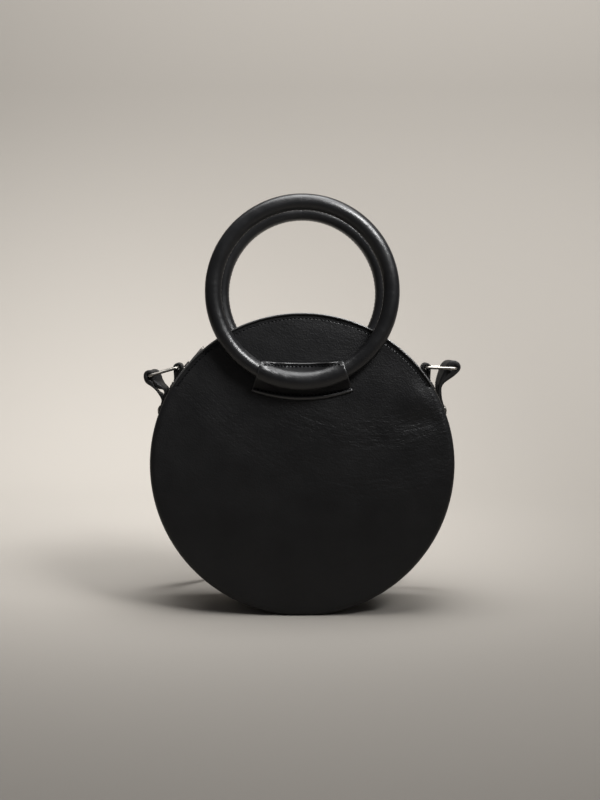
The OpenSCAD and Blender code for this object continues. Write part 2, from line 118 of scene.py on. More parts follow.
# The wire links, tabs and strap
WIRE_R = 1.1
TAB_W, TAB_T = 12, 1.6
TAB_BAR = (91.84, 178.51)
LINK_L = 21.5
LINK_IN, LINK_OUT = 8.6, 10.6
DROOPS = {"right": 1.5, "left": 16}
STRAP_W, STRAP_T = 16, 2
PLY_R, PLY_T = 111.4, 1.5
RIVET_ANGLE, TIP_ANGLE = 20, 18.4
RIVET_R, RIVET_DOME = 3.0, 1.4
SIDES = {"right": 1, "left": -1}

# The loop of each folded strap end, from the outer ply over the link's bar to the inner ply, with
# the angle to which the leather is twisted there
LOOPS = {
    "right": [
        (102.73, 155.6, 0), (102.5, 160, -2), (102.74, 164, -3), (104.66, 167.29, -3),
        (108.22, 170.18, -2), (111.9, 172.97, 0), (114.8, 175.97, 2), (115.8, 178.87, 4),
        (114.6, 181.57, 6), (111.7, 182.87, 8), (108.31, 182.28, 11), (105.9, 179.58, 13),
        (104.5, 175.89, 14), (102.6, 170.79, 11), (101.32, 166.6, 6), (100.9, 163, 3),
        (100.9, 159.5, 1), (101.28, 154.95, 0),
    ],
    "left": [
        (103.6, 154.8, -2), (106.39, 159.52, -6), (109.1, 162.73, -6), (112.1, 165.34, -3),
        (115, 167.89, 0), (115.75, 171.07, 4), (114.95, 174.27, 8), (112.3, 175.79, 12),
        (109.32, 174.64, 16), (108.12, 171.59, 19), (106.48, 168.16, 18), (103.65, 165.13, 12),
        (101.29, 162.37, 6), (100.7, 159.2, 3), (101.2, 155.8, 1),
    ],
}
SLITS = {"right": 0, "left": 161.4}

# The strap's way down behind the bag, and its coil there
ROUTES = {
    "right": [
        (106.7, 0.5, 139), (109.6, 4, 128), (112, 10, 115), (112.8, 19, 99), (111.6, 30, 81),
        (107, 40, 62), (98, 47, 42), (84, 51, 24), (65, 52, 12), (42, 51, 8), (20, 49.5, 8),
    ],
    "left": [
        (-106.7, 0.5, 139), (-109.6, 4, 128), (-112, 10, 115), (-112.8, 19, 99), (-112, 31, 80),
        (-108, 44, 60), (-99, 57, 39), (-86, 70, 20), (-72, 84, 10), (-58, 99, 8), (-43, 113, 8),
        (-24, 125.5, 8),
    ],
}
TURN_SHARES = (0.3, 0.75)
COIL_Y, COIL_R, COIL_LAYER, COIL_CORE_R = 90, 41, 6.5, 14


def eased(s):
    """Goes from 0 to 1 as s does, slowly at both ends."""
    c = np.clip(s, 0, 1)
    return c * c * (3 - 2 * c)


def hump(s, middle, width):
    """A smooth hump that is 1 at the middle and fades out over the width."""
    return np.exp(-(((s - middle) / width) ** 2))


def unit(v):
    return v / np.linalg.norm(v, axis=-1, keepdims=True)


def joined(*parts):
    """Points from their coordinates, each of them an array or one number for all."""
    return np.stack(np.broadcast_arrays(*parts), axis=-1)


def polar(angle, radius):
    a = np.radians(angle)
    return joined(radius * np.cos(a), radius * np.sin(a))


def arc(centre, radius, start, end, steps):
    return np.array(centre) + polar(np.linspace(start, end, steps + 1), radius)


def face_h(r):
    """Height of a face's outer surface over the middle of the bag's depth."""
    return HALF_DEPTH + CROWN * (1 - (np.minimum(r, CROWN_R) / CROWN_R) ** 2)


def turned(angles, profiles, side, centre_z=CENTRE_Z):
    """Turns a profile of radius and height, or one for each angle, about an axis along Y."""
    a = np.radians(np.asarray(angles, float))[:, None]
    profiles = np.asarray(profiles, float)
    r, h = profiles[..., 0], profiles[..., 1]
    return joined(r * np.cos(a), -side * h, centre_z + r * np.sin(a))


def on_gusset(angle, radius, y):
    """A point at an angle and radius round the bag's middle, at y across its depth."""
    x, z = polar(angle, radius)
    return np.array([x, y, CENTRE_Z + z])


def noise_at(points, scale, seed):
    """Smooth noise from -1 to 1 at each point, with one scale or one for each axis."""
    flat = points.reshape(-1, 3) / np.asarray(scale, float) + seed * 7.31
    return np.array([noise.noise(Vector(p)) for p in flat]).reshape(points.shape[:-1])


def smooth(points, steps):
    """A smooth line through the points of a route."""
    p = np.asarray(points, float)
    line = []
    for i in range(len(p) - 1):
        a, b, c, d = p[max(i - 1, 0)], p[i], p[i + 1], p[min(i + 2, len(p) - 1)]
        for s in np.arange(steps) / steps:
            line.append(
                b + (c - a) * s / 2 + (a * 2 - b * 5 + c * 4 - d) * s * s / 2
                + (b * 3 - a - c * 3 + d) * s ** 3 / 2
            )
    return np.array(line + [p[-1]])


def ways(line):
    """The direction of a line at each of its points."""
    w = np.empty_like(line)
    w[1:-1] = line[2:] - line[:-2]
    w[0], w[-1] = line[1] - line[0], line[-1] - line[-2]
    return unit(w)


def left_of(way):
    """The way in a plane that points to the left of this one."""
    return joined(-way[..., 1], way[..., 0])


def length_along(line):
    """How far each point of a line lies from its start, along it."""
    return np.concatenate([[0], np.cumsum(np.linalg.norm(np.diff(line, axis=0), axis=1))])


def at_steps(line, reach, steps):
    """The line's values at steps along its reach."""
    return joined(*(np.interp(steps, reach, column) for column in line.T))


def in_scene(name, data):
    """Adds an object with this data to the scene."""
    thing = bpy.data.objects.new(name, data)
    bpy.context.scene.collection.objects.link(thing)
    return thing


def place(piece, body, replaces=()):
    """Hides the nodes that a piece replaces and fixes it to its body, where it has one."""
    if replaces:
        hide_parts(*replaces)
    if body:
        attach(piece, body)
    return piece


def new_piece(name, points, faces, material, uv=None, sharp=40, marked=None):
    """Makes a closed mesh of points in millimetres, merged at its poles, with faces outwards.

    marked gives a second material and the faces that have it."""
    mesh = bpy.data.meshes.new(name)
    mesh.from_pydata((np.asarray(points, float) * MM).tolist(), [], faces)
    if uv is not None:
        layer = mesh.uv_layers.new(name="strip")
        corners = np.empty(len(mesh.loops), np.int32)
        mesh.loops.foreach_get("vertex_index", corners)
        layer.data.foreach_set("uv", (np.asarray(uv, float)[corners] * MM).astype(np.float32).ravel())
    mesh.materials.append(material)
    if marked is not None:
        mesh.materials.append(marked[0])
        chosen = np.zeros(len(faces), np.int32)
        chosen[: marked[1].size] = marked[1].ravel()
        mesh.polygons.foreach_set("material_index", chosen)
    shell = bmesh.new()
    shell.from_mesh(mesh)
    bmesh.ops.remove_doubles(shell, verts=shell.verts, dist=1e-6)
    bmesh.ops.recalc_face_normals(shell, faces=shell.faces)
    shell.to_mesh(mesh)
    shell.free()
    mesh.shade_smooth()
    mesh.set_sharp_from_angle(angle=math.radians(sharp))
    return in_scene(name, mesh)


def grid_piece(
    name, grid, material, ring_u=False, ring_v=False, uv=None, sharp=40, marked=None, edge="edge",
):
    """Skins a grid of points; a grid that closes only across its rows gets a cap at each end.

    marked tells which faces have the finish named by edge."""
    nu, nv = grid.shape[:2]
    i = np.arange(nu if ring_u else nu - 1)[:, None]
    j = np.arange(nv if ring_v else nv - 1)[None, :]
    i2, j2 = (i + 1) % nu, (j + 1) % nv
    faces = joined(i * nv + j, i2 * nv + j, i2 * nv + j2, i * nv + j2)
    shape = faces.shape[:2]
    faces = faces.reshape(-1, 4).tolist()
    if ring_v and not ring_u:
        faces += [list(range(nv))[::-1], [(nu - 1) * nv + k for k in range(nv)]]
    flat_uv = None if uv is None else uv.reshape(-1, 2)
    if marked is not None:
        chosen = marked(np.arange(shape[0])[:, None], np.arange(shape[1]))
        marked = (MATERIALS[edge], np.broadcast_to(chosen, shape))
    return new_piece(name, grid.reshape(-1, 3), faces, material, flat_uv, sharp, marked)


# Camera

def make_camera():
    """The camera in front of the bag, a little above its middle."""
    data = bpy.data.cameras.new("camera")
    data.sensor_width = 36
    data.lens = CAMERA_LENS
    data.clip_start, data.clip_end = 0.01, 30
    camera = in_scene("camera", data)
    camera.location = CAMERA_AT
    camera.rotation_euler = (math.radians(90 - CAMERA_TILT), 0, 0)
    bpy.context.scene.camera = camera


# Materials

def feed(tree, socket, value):
    """Joins a socket to another one, or gives it a value."""
    if isinstance(value, bpy.types.NodeSocket):
        tree.links.new(value, socket)
    else:
        socket.default_value = value


def add(tree, kind, settings=None, **inputs):
    """Adds a node to a tree, with its settings and inputs."""
    made = tree.nodes.new(kind)
    for key, value in (settings or {}).items():
        setattr(made, key, value)
    for socket, value in inputs.items():
        feed(tree, made.inputs[socket.replace("_", " ")], value)
    return made


class Shader:
    """A material's nodes, with short calls that add and join them."""

    def __init__(self, name, color, **sockets):
        self.material = bpy.data.materials.new(name)
        self.material.use_nodes = True
        self.tree = self.material.node_tree
        self.surface = self.tree.nodes["Principled BSDF"]
        self.surface.inputs["Base Color"].default_value = (*color, 1)
        for socket, value in sockets.items():
            self.surface.inputs[socket.replace("_", " ")].default_value = value

    def node(self, kind, settings=None, **inputs):
        return add(self.tree, "ShaderNode" + kind, settings, **inputs)

    def feed(self, socket, value):
        feed(self.tree, socket, value)

    def coordinates(self, kind="Object", scale=(1, 1, 1), turn=(0, 0, 0)):
        source = self.node("TexCoord").outputs[kind]
        return self.node("Mapping", Vector=source, Scale=scale, Rotation=turn).outputs["Vector"]

    def noise(self, vector, scale, detail=2, distortion=0):
        made = self.node("TexNoise", Vector=vector, Scale=scale, Detail=detail, Distortion=distortion)
        return made.outputs["Fac"]

    def spread(self, value, low, high, start=0.3, end=0.7):
        made = self.node("MapRange", Value=value)
        for socket, number in (("From Min", start), ("From Max", end), ("To Min", low), ("To Max", high)):
            made.inputs[socket].default_value = number
        return made.outputs["Result"]

    def tones(self, value, dark, light, start=0.3, end=0.7):
        ramp = self.node("ValToRGB", Fac=value)
        for element, position, color in zip(ramp.color_ramp.elements, (start, end), (dark, light)):
            element.position = position
            element.color = (*color, 1)
        self.feed(self.surface.inputs["Base Color"], ramp.outputs["Color"])

    def rough(self, value, low, high):
        self.feed(self.surface.inputs["Roughness"], self.spread(value, low, high))

    def bump(self, height, distance, strength=1.0):
        """Adds a layer of relief, in millimetres, over the layers before it."""
        before = self.surface.inputs["Normal"].links
        made = self.node("Bump", Height=height, Distance=distance * MM, Strength=strength)
        if before:
            self.feed(made.inputs["Normal"], before[0].from_socket)
        self.feed(self.surface.inputs["Normal"], made.outputs["Normal"])


def leather(name, dark, light, roughness, shine, creases, grain=0.06, flow=False):
    """Smooth black hide: pebbled grain, fine pores, worn, uneven gloss, and soft creases.

    With flow, the creases follow the piece's own flow and creasing attributes."""
    s = Shader(name, light, Specular_IOR_Level=shine)
    where = s.coordinates()
    s.tones(s.noise(where, 22, 3), dark, light)
    s.rough(s.noise(where, 60, 4), roughness - 0.05, roughness + 0.07)
    if flow:
        lines = s.node("Attribute", {"attribute_name": "flow"}).outputs["Vector"]
        weight = s.node("Attribute", {"attribute_name": "creasing"}).outputs["Fac"]
        s.bump(s.noise(lines, 330, 3, 0.25), creases, weight)
        s.bump(s.noise(where, 120, 3, 0.4), 0.25, 0.5)
        wrinkles = s.noise(s.coordinates(scale=(0.7, 1, 1.2)), 360, 2, 0.5)
        s.bump(wrinkles, 0.42, s.spread(weight, 0.3, 1.0, 0.2, 0.9))
    else:
        s.bump(s.noise(s.coordinates(scale=(1, 1, 2.6)), 90, 4, 0.6), 0.35, creases)
    pebble = s.node("TexVoronoi", {"feature": "F1"}, Vector=where, Scale=820).outputs["Distance"]
    s.bump(pebble, grain, 0.8)
    s.bump(s.noise(where, 620, 3), 0.08, 0.7)
    s.bump(s.noise(where, 2600, 3), 0.03, 0.7)
    return s.material


def woven(name, dark, light, threads, relief, slant=False, kind="Object"):
    """Cloth with crossing threads; slant gives the ribbed weave of a zip's tape."""
    s = Shader(name, light, Roughness=0.86, Sheen_Weight=0.25)
    where = s.coordinates(kind)
    bands = [
        s.node("TexWave", {"bands_direction": way, "wave_profile": "SIN"}, Vector=where, Scale=threads * k)
        for way, k in ((("DIAGONAL", 0.7), ("X", 1)) if slant else (("X", 1), ("Z", 1)))
    ]
    weave = s.node("Math", {"operation": "MAXIMUM"})
    for socket, band in zip(weave.inputs, bands):
        s.feed(socket, band.outputs["Fac"])
    s.tones(weave.outputs["Value"], dark, light, 0.2, 0.95)
    s.bump(weave.outputs["Value"], relief, 0.8)
    s.bump(s.noise(where, 1800, 2), 0.05, 0.5)
    return s.material


def edge_paint(name, color, shine, coat):
    """The paint on cut and rolled edges, with a clear coat where one is given."""
    s = Shader(name, color, Specular_IOR_Level=shine, Coat_Weight=coat, Coat_Roughness=0.35)
    where = s.coordinates()
    s.rough(s.noise(where, 300, 3), 0.32, 0.46)
    s.bump(s.noise(where, 700, 3), 0.08, 0.5)
    return s.material


def cut_edge():
    """The dull, inked edge of a cut strap."""
    s = Shader("cut_edge", (0.004, 0.0038, 0.0036), Roughness=0.6, Specular_IOR_Level=0.25)
    where = s.coordinates()
    s.tones(s.noise(where, 500, 4), (0.0025, 0.0024, 0.0023), (0.007, 0.0064, 0.006))
    s.bump(s.noise(where, 1300, 4), 0.06, 0.8)
    return s.material


def nickel(name, color, roughness, scratches):
    """Plated metal with fine handling marks and a slightly uneven shine."""
    s = Shader(name, color, Metallic=1.0)
    where = s.coordinates()
    s.rough(s.noise(s.coordinates(scale=(1, 6, 1)), 240, 5), roughness, roughness + 0.12)
    s.bump(s.noise(where, 420, 3), scratches, 0.5)
    return s.material


def thread():
    """Black waxed thread with a faint twist."""
    s = Shader("waxed_thread", (0.003, 0.003, 0.0034), Roughness=0.9, Specular_IOR_Level=0.05)
    twist = s.node("TexWave", {"bands_direction": "DIAGONAL"}, Vector=s.coordinates(), Scale=1400)
    s.tones(twist.outputs["Fac"], (0.002, 0.002, 0.0023), (0.006, 0.006, 0.0065))
    s.bump(twist.outputs["Fac"], 0.05, 0.8)
    return s.material


def board():
    s = Shader("fibre_board", (0.3, 0.25, 0.18), Roughness=0.9)
    where = s.coordinates()
    s.tones(s.noise(where, 700, 5), (0.22, 0.18, 0.12), (0.36, 0.3, 0.22))
    s.bump(s.noise(where, 1500, 3), 0.1, 0.6)
    return s.material


def turned_wood():
    s = Shader("turned_wood", (0.45, 0.32, 0.18), Roughness=0.55)
    rings = s.node(
        "TexWave", {"wave_type": "RINGS"}, Vector=s.coordinates(scale=(1, 5, 1)), Scale=60, Distortion=5,
        Detail=3,
    )
    s.tones(rings.outputs["Fac"], (0.3, 0.19, 0.1), (0.5, 0.36, 0.21))
    s.bump(rings.outputs["Fac"], 0.08, 0.5)
    return s.material


BLACK = ((0.003, 0.003, 0.0034), (0.0056, 0.0056, 0.006))
RING_BLACK = ((0.0028, 0.0028, 0.0032), (0.005, 0.005, 0.0055))
LINING_TONES = ((0.025, 0.025, 0.028), (0.05, 0.05, 0.056))
TAPE_TONES = ((0.008, 0.008, 0.009), (0.022, 0.022, 0.024))
MATERIALS = {
    "hide": leather("face_hide", *BLACK, roughness=0.47, shine=0.28, creases=0.45, grain=0.14, flow=True),
    "wrap": leather("ring_hide", *RING_BLACK, roughness=0.33, shine=0.5, creases=0.35),
    "band": leather("band_hide", *BLACK, roughness=0.44, shine=0.34, creases=0.3),
    "strap": leather("strap_hide", *BLACK, roughness=0.46, shine=0.3, creases=0.3),
    "edge": edge_paint("edge_paint", (0.010, 0.010, 0.0105), shine=0.8, coat=0),
    # The lip's finish is the edge paint with a coat and more shine, which is real gloss, but its base is set
    # lighter than the edge paint's, which paints a highlight along the lip
    "lip": edge_paint("lip_paint_and_painted_highlight", (0.015, 0.015, 0.0155), shine=1.0, coat=0.8),
    "cut": cut_edge(),
    "lining": woven("lining_cloth", *LINING_TONES, threads=900, relief=0.08),
    "tape": woven("zip_tape_weave", *TAPE_TONES, threads=700, relief=0.12, slant=True, kind="UV"),
    "nickel": nickel("polished_nickel", (0.36, 0.34, 0.31), roughness=0.26, scratches=0.02),
    "teeth": nickel("zip_nickel", (0.38, 0.36, 0.33), roughness=0.34, scratches=0.03),
    "pull": nickel("brushed_nickel", (0.17, 0.16, 0.148), roughness=0.52, scratches=0.05),
    "thread": thread(),
    "board": board(),
    "wood": turned_wood(),
}


# Repeats: stitches along a line and teeth along the zip

def new_tree(name, inputs):
    """An empty node tree that takes and gives a mesh, with named inputs for its sizes."""
    tree = bpy.data.node_groups.new(name, "GeometryNodeTree")
    tree.interface.new_socket("Geometry", in_out="INPUT", socket_type="NodeSocketGeometry")
    for label, kind in inputs:
        tree.interface.new_socket(label, in_out="INPUT", socket_type="NodeSocket" + kind)
    tree.interface.new_socket("Geometry", in_out="OUTPUT", socket_type="NodeSocketGeometry")
    return tree, tree.nodes.new("NodeGroupInput").outputs, tree.nodes.new("NodeGroupOutput").inputs


def finish_tree(tree, given, taken, instances):
    """Makes the repeats real, gives them their material and hands them on."""
    realized = add(tree, "GeometryNodeRealizeInstances", Geometry=instances)
    painted = add(
        tree, "GeometryNodeSetMaterial", Geometry=realized.outputs["Geometry"], Material=given["Material"]
    )
    tree.links.new(painted.outputs["Geometry"], taken["Geometry"])


def stitch_tree():
    """Lays one rounded stitch on each point, along the point's own way."""
    tree, given, taken = new_tree(
        "stitches", [("Length", "Float"), ("Thread", "Float"), ("Material", "Material")]
    )
    stitch = add(tree, "GeometryNodeMeshUVSphere", Segments=8, Rings=6, Radius=0.5)
    size = add(tree, "ShaderNodeCombineXYZ", X=given["Thread"], Y=given["Thread"], Z=given["Length"])
    way = add(tree, "GeometryNodeInputNamedAttribute", {"data_type": "FLOAT_VECTOR"}, Name="way")
    turn = add(tree, "FunctionNodeAlignRotationToVector", {"axis": "Z"}, Vector=way.outputs["Attribute"])
    laid = add(
        tree, "GeometryNodeInstanceOnPoints", Points=given["Geometry"], Instance=stitch.outputs["Mesh"],
        Rotation=turn.outputs["Rotation"], Scale=size.outputs["Vector"],
    )
    finish_tree(tree, given, taken, laid.outputs["Instances"])
    return tree


def tooth_tree():
    """Sets one tooth, a block with a rounded head, at each point, turned by the point's own angle."""
    tree, given, taken = new_tree(
        "zip_teeth", [("Width", "Float"), ("Height", "Float"), ("Length", "Float"), ("Material", "Material")]
    )
    size = add(tree, "ShaderNodeCombineXYZ", X=given["Height"], Y=given["Length"], Z=given["Width"])
    block = add(tree, "GeometryNodeMeshCube", Size=size.outputs["Vector"])
    head = add(tree, "GeometryNodeMeshUVSphere", Segments=10, Rings=6, Radius=0.5)
    head_size = add(tree, "ShaderNodeCombineXYZ", X=given["Height"], Y=given["Width"], Z=given["Width"])
    grown = add(
        tree, "ShaderNodeVectorMath", {"operation": "SCALE"}, Vector=head_size.outputs["Vector"],
        Scale=HEAD_SIZE,
    )
    along = add(tree, "ShaderNodeMath", {"operation": "MULTIPLY"})
    feed(tree, along.inputs[0], given["Length"])
    feed(tree, along.inputs[1], HEAD_PLACE)
    spot = add(tree, "ShaderNodeCombineXYZ", Y=along.outputs["Value"])
    placed = add(
        tree, "GeometryNodeTransform", Geometry=head.outputs["Mesh"], Scale=grown.outputs["Vector"],
        Translation=spot.outputs["Vector"],
    )
    tooth = add(tree, "GeometryNodeJoinGeometry")
    tree.links.new(block.outputs["Mesh"], tooth.inputs["Geometry"])
    tree.links.new(placed.outputs["Geometry"], tooth.inputs["Geometry"])
    turn = add(tree, "GeometryNodeInputNamedAttribute", {"data_type": "FLOAT_VECTOR"}, Name="turn")
    rotation = add(tree, "FunctionNodeEulerToRotation", Euler=turn.outputs["Attribute"])
    laid = add(
        tree, "GeometryNodeInstanceOnPoints", Points=given["Geometry"], Instance=tooth.outputs["Geometry"],
        Rotation=rotation.outputs["Rotation"],
    )
    finish_tree(tree, given, taken, laid.outputs["Instances"])
    return tree


def mark(mesh, label, values):
    """Stores a number or a vector with each point of a mesh."""
    kind, key = ("FLOAT_VECTOR", "vector") if values.ndim > 1 else ("FLOAT", "value")
    mesh.attributes.new(label, kind, "POINT").data.foreach_set(key, values.astype(np.float32).ravel())


def repeated(name, points, label, turns, tree, values):
    """Runs a tree on points in millimetres, each with its turn stored under the label.

    values go to the tree's inputs, and the result is kept as a plain piece."""
    mesh = bpy.data.meshes.new(name)
    mesh.from_pydata((points * MM).tolist(), [], [])
    mark(mesh, label, turns)
    source = in_scene(name + "_line", mesh)
    modifier = source.modifiers.new("repeat", "NODES")
    modifier.node_group = tree
    for item in tree.interface.items_tree:
        if item.in_out == "INPUT" and item.name in values:
            modifier[item.identifier] = values[item.name]
    graph = bpy.context.evaluated_depsgraph_get()
    made = bpy.data.meshes.new_from_object(source.evaluated_get(graph), depsgraph=graph)
    bpy.data.objects.remove(source)
    made.shade_smooth()
    made.set_sharp_from_angle(angle=math.radians(50))
    return in_scene(name, made)


STITCHES = stitch_tree()
TEETH = tooth_tree()


def sewn(name, lines, body, pitch, length, thickness, slant=0):
    """Stitches along one line or several, in millimetres; slant turns each one about the Y axis."""
    points, turns = [], []
    for line in lines:
        line = np.asarray(line, float)
        reach, way = length_along(line), ways(line)
        count = max(1, int(reach[-1] / pitch))
        steps = (np.arange(count) + 0.5) * reach[-1] / count
        points.append(at_steps(line, reach, steps))
        t = at_steps(way, reach, steps)
        a = math.radians(slant)
        turns.append(t * math.cos(a) + np.cross(ACROSS, t) * math.sin(a))
    piece = repeated(name, np.concatenate(points), "way", np.concatenate(turns), STITCHES, {
        "Length": length * MM, "Thread": thickness * MM, "Material": MATERIALS["thread"],
    })
    return place(piece, body) if body else piece


# Faces

def panel_angles():
    """Angles round a face, close together where the groove begins and ends."""
    ends = [np.arange(a - 2.4, a + 2.4, 0.2) for a in (ZIP_FROM, ZIP_TO)]
    rest = [a for a in np.arange(0, 360, 0.8) if min(abs(a - ZIP_FROM), abs(a - ZIP_TO)) > 2.6]
    return np.sort(np.concatenate([*ends, rest]))


def in_opening(angles, margin, width):
    """1 along the zip's opening and 0 elsewhere, going over within width of each end."""
    return eased((angles - ZIP_FROM - margin) / width) * eased((ZIP_TO - margin - angles) / width)


def crease_height(x, z):
    """Height on a face, measured along the bowed lines that its creases follow."""
    return z - 0.004 * (x - 50) ** 2


def creasing(x, z):
    """Where fine creases run over a face, which way, and how strongly."""
    v = crease_height(x, z)
    band = hump(v, 23, 15) * eased((x + 60) / 70)
    lower = hump(v, -12, 18) * 0.55
    return x / 6, v, 0.16 + 0.84 * np.maximum(band, lower)


def front_relief(x, z):
    """The front face's swells, and the bulge and dent beside the right end of the zip."""
    p = joined(x, 0, z)
    relief = 0.6 * noise_at(p, 55, 1) + 0.22 * noise_at(p, 24, 2)
    bulge = hump(x, 84, 15) * hump(z, 50, 11)
    dent_line = 33 + 0.12 * (x - 92)
    dent = hump(z, dent_line, 6.5) * eased((x - 60) / 26) * eased((112 - x) / 14)
    v = crease_height(x, z)
    folds = hump(x, 66, 34) * hump(v, 20, 15) * noise_at(joined(x, 0, v), (18, 1, 4.5), 3)
    return relief + bulge - 0.9 * dent + 0.22 * folds


def back_relief(x, z):
    """The back face's swells, and a dent beside the zip's other end."""
    p = joined(x, 0, z)
    dent = hump(x, -88, 18) * hump(z, 36, 8)
    return 0.55 * noise_at(p, 52, 5) + 0.2 * noise_at(p, 22, 6) - 0.6 * dent


def make_panel(name, side, relief, replaced):
    """A face with its turned rim, cut back along the groove over the zip's opening.

    Its rings of points lie wide apart on the crown and close together near the rim."""
    angles = panel_angles()
    crown_r = np.concatenate([np.linspace(0, 92, 58), np.linspace(93.5, CROWN_R, 11)])
    crown = joined(crown_r, face_h(crown_r))
    inner_r = np.linspace(CROWN_R, 0, 9)
    inner = joined(inner_r, face_h(inner_r) - LEATHER)
    rim = np.concatenate([
        crown, arc((CROWN_R, SEAM_H), RIM_R, 82, 0, 9),
        [[BAG_R - 0.4, SEAM_H - 0.25], [BAG_R - 1.2, SEAM_H - 0.2]],
        arc((CROWN_R, SEAM_H), RIM_R - LEATHER, 0, 70, 3), inner,
    ])
    roll = 0.8
    foot = np.array([GROOVE_R, FLANGE_H])
    cut = np.concatenate([
        crown, arc((GROOVE_R - roll, HALF_DEPTH - roll), roll, 84, 0, 7),
        foot + [[0, 0.8], [0, 0.15], [-0.2, 0.1], [-0.5, 0.1]],
        foot + np.linspace([-0.7, 0.12], [-1, 0.3], 4), inner,
    ])
    share = in_opening(angles, margin=0.3, width=1.5)[:, None, None]
    grid = turned(angles, rim * (1 - share) + cut * share, side)
    x, z = grid[:, :, 0], grid[:, :, 2] - CENTRE_Z
    r = np.hypot(x, z)
    outer = np.arange(grid.shape[1]) < len(crown) + 4
    swell_end, fade = 107, 9
    grid[:, :, 1] -= side * relief(x, z) * eased((swell_end - r) / fade) * outer
    grid[:, :, 2] = np.maximum(grid[:, :, 2], 0.0)
    piece = grid_piece(name, grid, MATERIALS["hide"], ring_u=True)
    spots = np.empty(len(piece.data.vertices) * 3, np.float32)
    piece.data.vertices.foreach_get("co", spots)
    spots = spots.reshape(-1, 3) / MM
    u, v, weight = creasing(side * spots[:, 0], spots[:, 2] - CENTRE_Z)
    mark(piece.data, "flow", joined(u, spots[:, 1], v) * MM)
    mark(piece.data, "creasing", weight)
    return place(piece, "bag", [replaced])


def groove_stitches(name, side):
    """The dark stitches that lie in the groove, against the face's cut edge."""
    angles = np.arange(ZIP_FROM + 1.6, ZIP_TO - 1.4, 0.5)
    row = turned(angles, [[GROOVE_R - 0.05, HALF_DEPTH - 0.25]], side)[:, 0]
    return sewn(name, [row], "bag", pitch=2.65, length=2.1, thickness=1.0, slant=20 * side)


# Gusset, zip bands and linings

def outwards(grid):
    """The way out from the bag's middle line at each point."""
    out = grid - [0, 0, CENTRE_Z]
    out[..., 1] = 0
    return unit(out)


def make_gusset():
    """The wall round the sides and underside, a little hollow between its seams.

    Its ends under the zip bands are drawn in a little."""
    angles = np.concatenate([
        [ZIP_TO, ZIP_TO + 0.12, ZIP_TO + 0.4], np.arange(ZIP_TO + 1, ZIP_FROM + 359.5, 1),
        [ZIP_FROM + 359.6, ZIP_FROM + 359.88, ZIP_FROM + 360],
    ])
    h = np.concatenate([
        [0.1 - SEAM_H, 0.6 - SEAM_H], np.linspace(2 - SEAM_H, SEAM_H - 2, 33), [SEAM_H - 0.6, SEAM_H - 0.1],
    ])
    bow = 0.35 * np.cos(np.pi * h / (2 * SEAM_H))
    outer = joined(GUSSET_R - bow, h)
    inner = joined(GUSSET_R - LEATHER, h[::-4])
    profile = np.concatenate([outer, inner])
    from_end = np.minimum(np.abs(angles - ZIP_TO), np.abs(angles - ZIP_FROM - 360))
    drawn_in = 0.5 * np.exp(-from_end / 0.25)
    profiles = profile[None] - joined(drawn_in, 0)[:, None]
    profiles[:, len(outer):] = inner
    grid = turned(angles, profiles, 1)
    rumple = 0.22 * noise_at(grid, (16, 30, 16), 8) * (np.arange(grid.shape[1]) < len(outer))
    grid += outwards(grid) * rumple[..., None]
    grid[..., 2] = np.maximum(grid[..., 2], 0.0)
    piece = grid_piece("gusset_leather", grid, MATERIALS["band"], ring_v=True)
    return place(piece, "bag", ["gusset"])


def make_band(name, side, replaced):
    """A zip band from its folded edge beside the zip up to the rolled lip round the opening.

    The lip sinks towards both ends, where it goes under the gusset."""
    angles = np.concatenate([
        np.arange(ZIP_FROM, ZIP_FROM + 3, 0.25), np.arange(ZIP_FROM + 3, ZIP_TO - 3, 0.75),
        np.arange(ZIP_TO - 3, ZIP_TO + 0.01, 0.25),
    ])
    h = np.linspace(BAND_H + 1.2, SEAM_H - 0.5, 20)
    fold_r = 0.8
    edge = arc((GUSSET_R - fold_r, BAND_H + fold_r), fold_r, 270, 360, 4)
    top = joined(GUSSET_R - 0.3 * np.sin(np.pi * (h - BAND_H) / (SEAM_H - BAND_H)), h)
    half = LIP_T / 2
    lip = arc((LIP_R, HALF_DEPTH - 0.4 - half), half, 0, 180, 8)
    flange_in, flange_under = GROOVE_R - FLANGE_W, FLANGE_H - FLANGE_T
    base = np.array([
        [LIP_R - half, FLANGE_H], [flange_in, FLANGE_H], [flange_in, flange_under],
        [GUSSET_R - LEATHER, flange_under], [GUSSET_R - LEATHER, BAND_H + 0.6],
    ])
    rise = [[GUSSET_R + 0.1, SEAM_H + 0.1], [BAG_R, SEAM_H + 0.9]]
    profiles = np.repeat(np.concatenate([edge, top, rise, lip, base])[None], len(angles), axis=0)
    lip_rows = slice(len(edge) + len(top) + 1, len(edge) + len(top) + 2 + len(lip))
    low = 1 - in_opening(angles, margin=0, width=1.9)
    lip_foot, sunk_share = SEAM_H + 1.4, 0.72
    over_foot = np.clip(profiles[:, lip_rows, 1] - lip_foot, 0, None)
    profiles[:, lip_rows, 1] -= low[:, None] * over_foot * sunk_share
    grid = turned(angles, profiles, side)
    rows = np.arange(grid.shape[1])
    wave = 0.14 * noise_at(grid, (12, 10, 12), 9 + side) * ((rows > 2) & (rows < len(edge) + len(top) - 2))
    grid += outwards(grid) * wave[..., None]
    # The lip's rows take the lip finish, whose lighter base paints a highlight along the rolled lip
    piece = grid_piece(
        name, grid, MATERIALS["band"], ring_v=True, sharp=50,
        marked=lambda i, j: (j >= lip_rows.start) & (j < lip_rows.stop - 1), edge="lip",
    )
    return place(piece, "bag", [replaced])


def band_stitches(name, side):
    """The row that sews a band to the zip's tape."""
    angles = np.arange(ZIP_FROM + 1, ZIP_TO - 0.9, 0.5)
    row = turned(angles, [[GUSSET_R + 0.02, BAND_H + 2.6]], side)[:, 0]
    return sewn(name, [row], "bag", pitch=3.2, length=2.3, thickness=0.55)


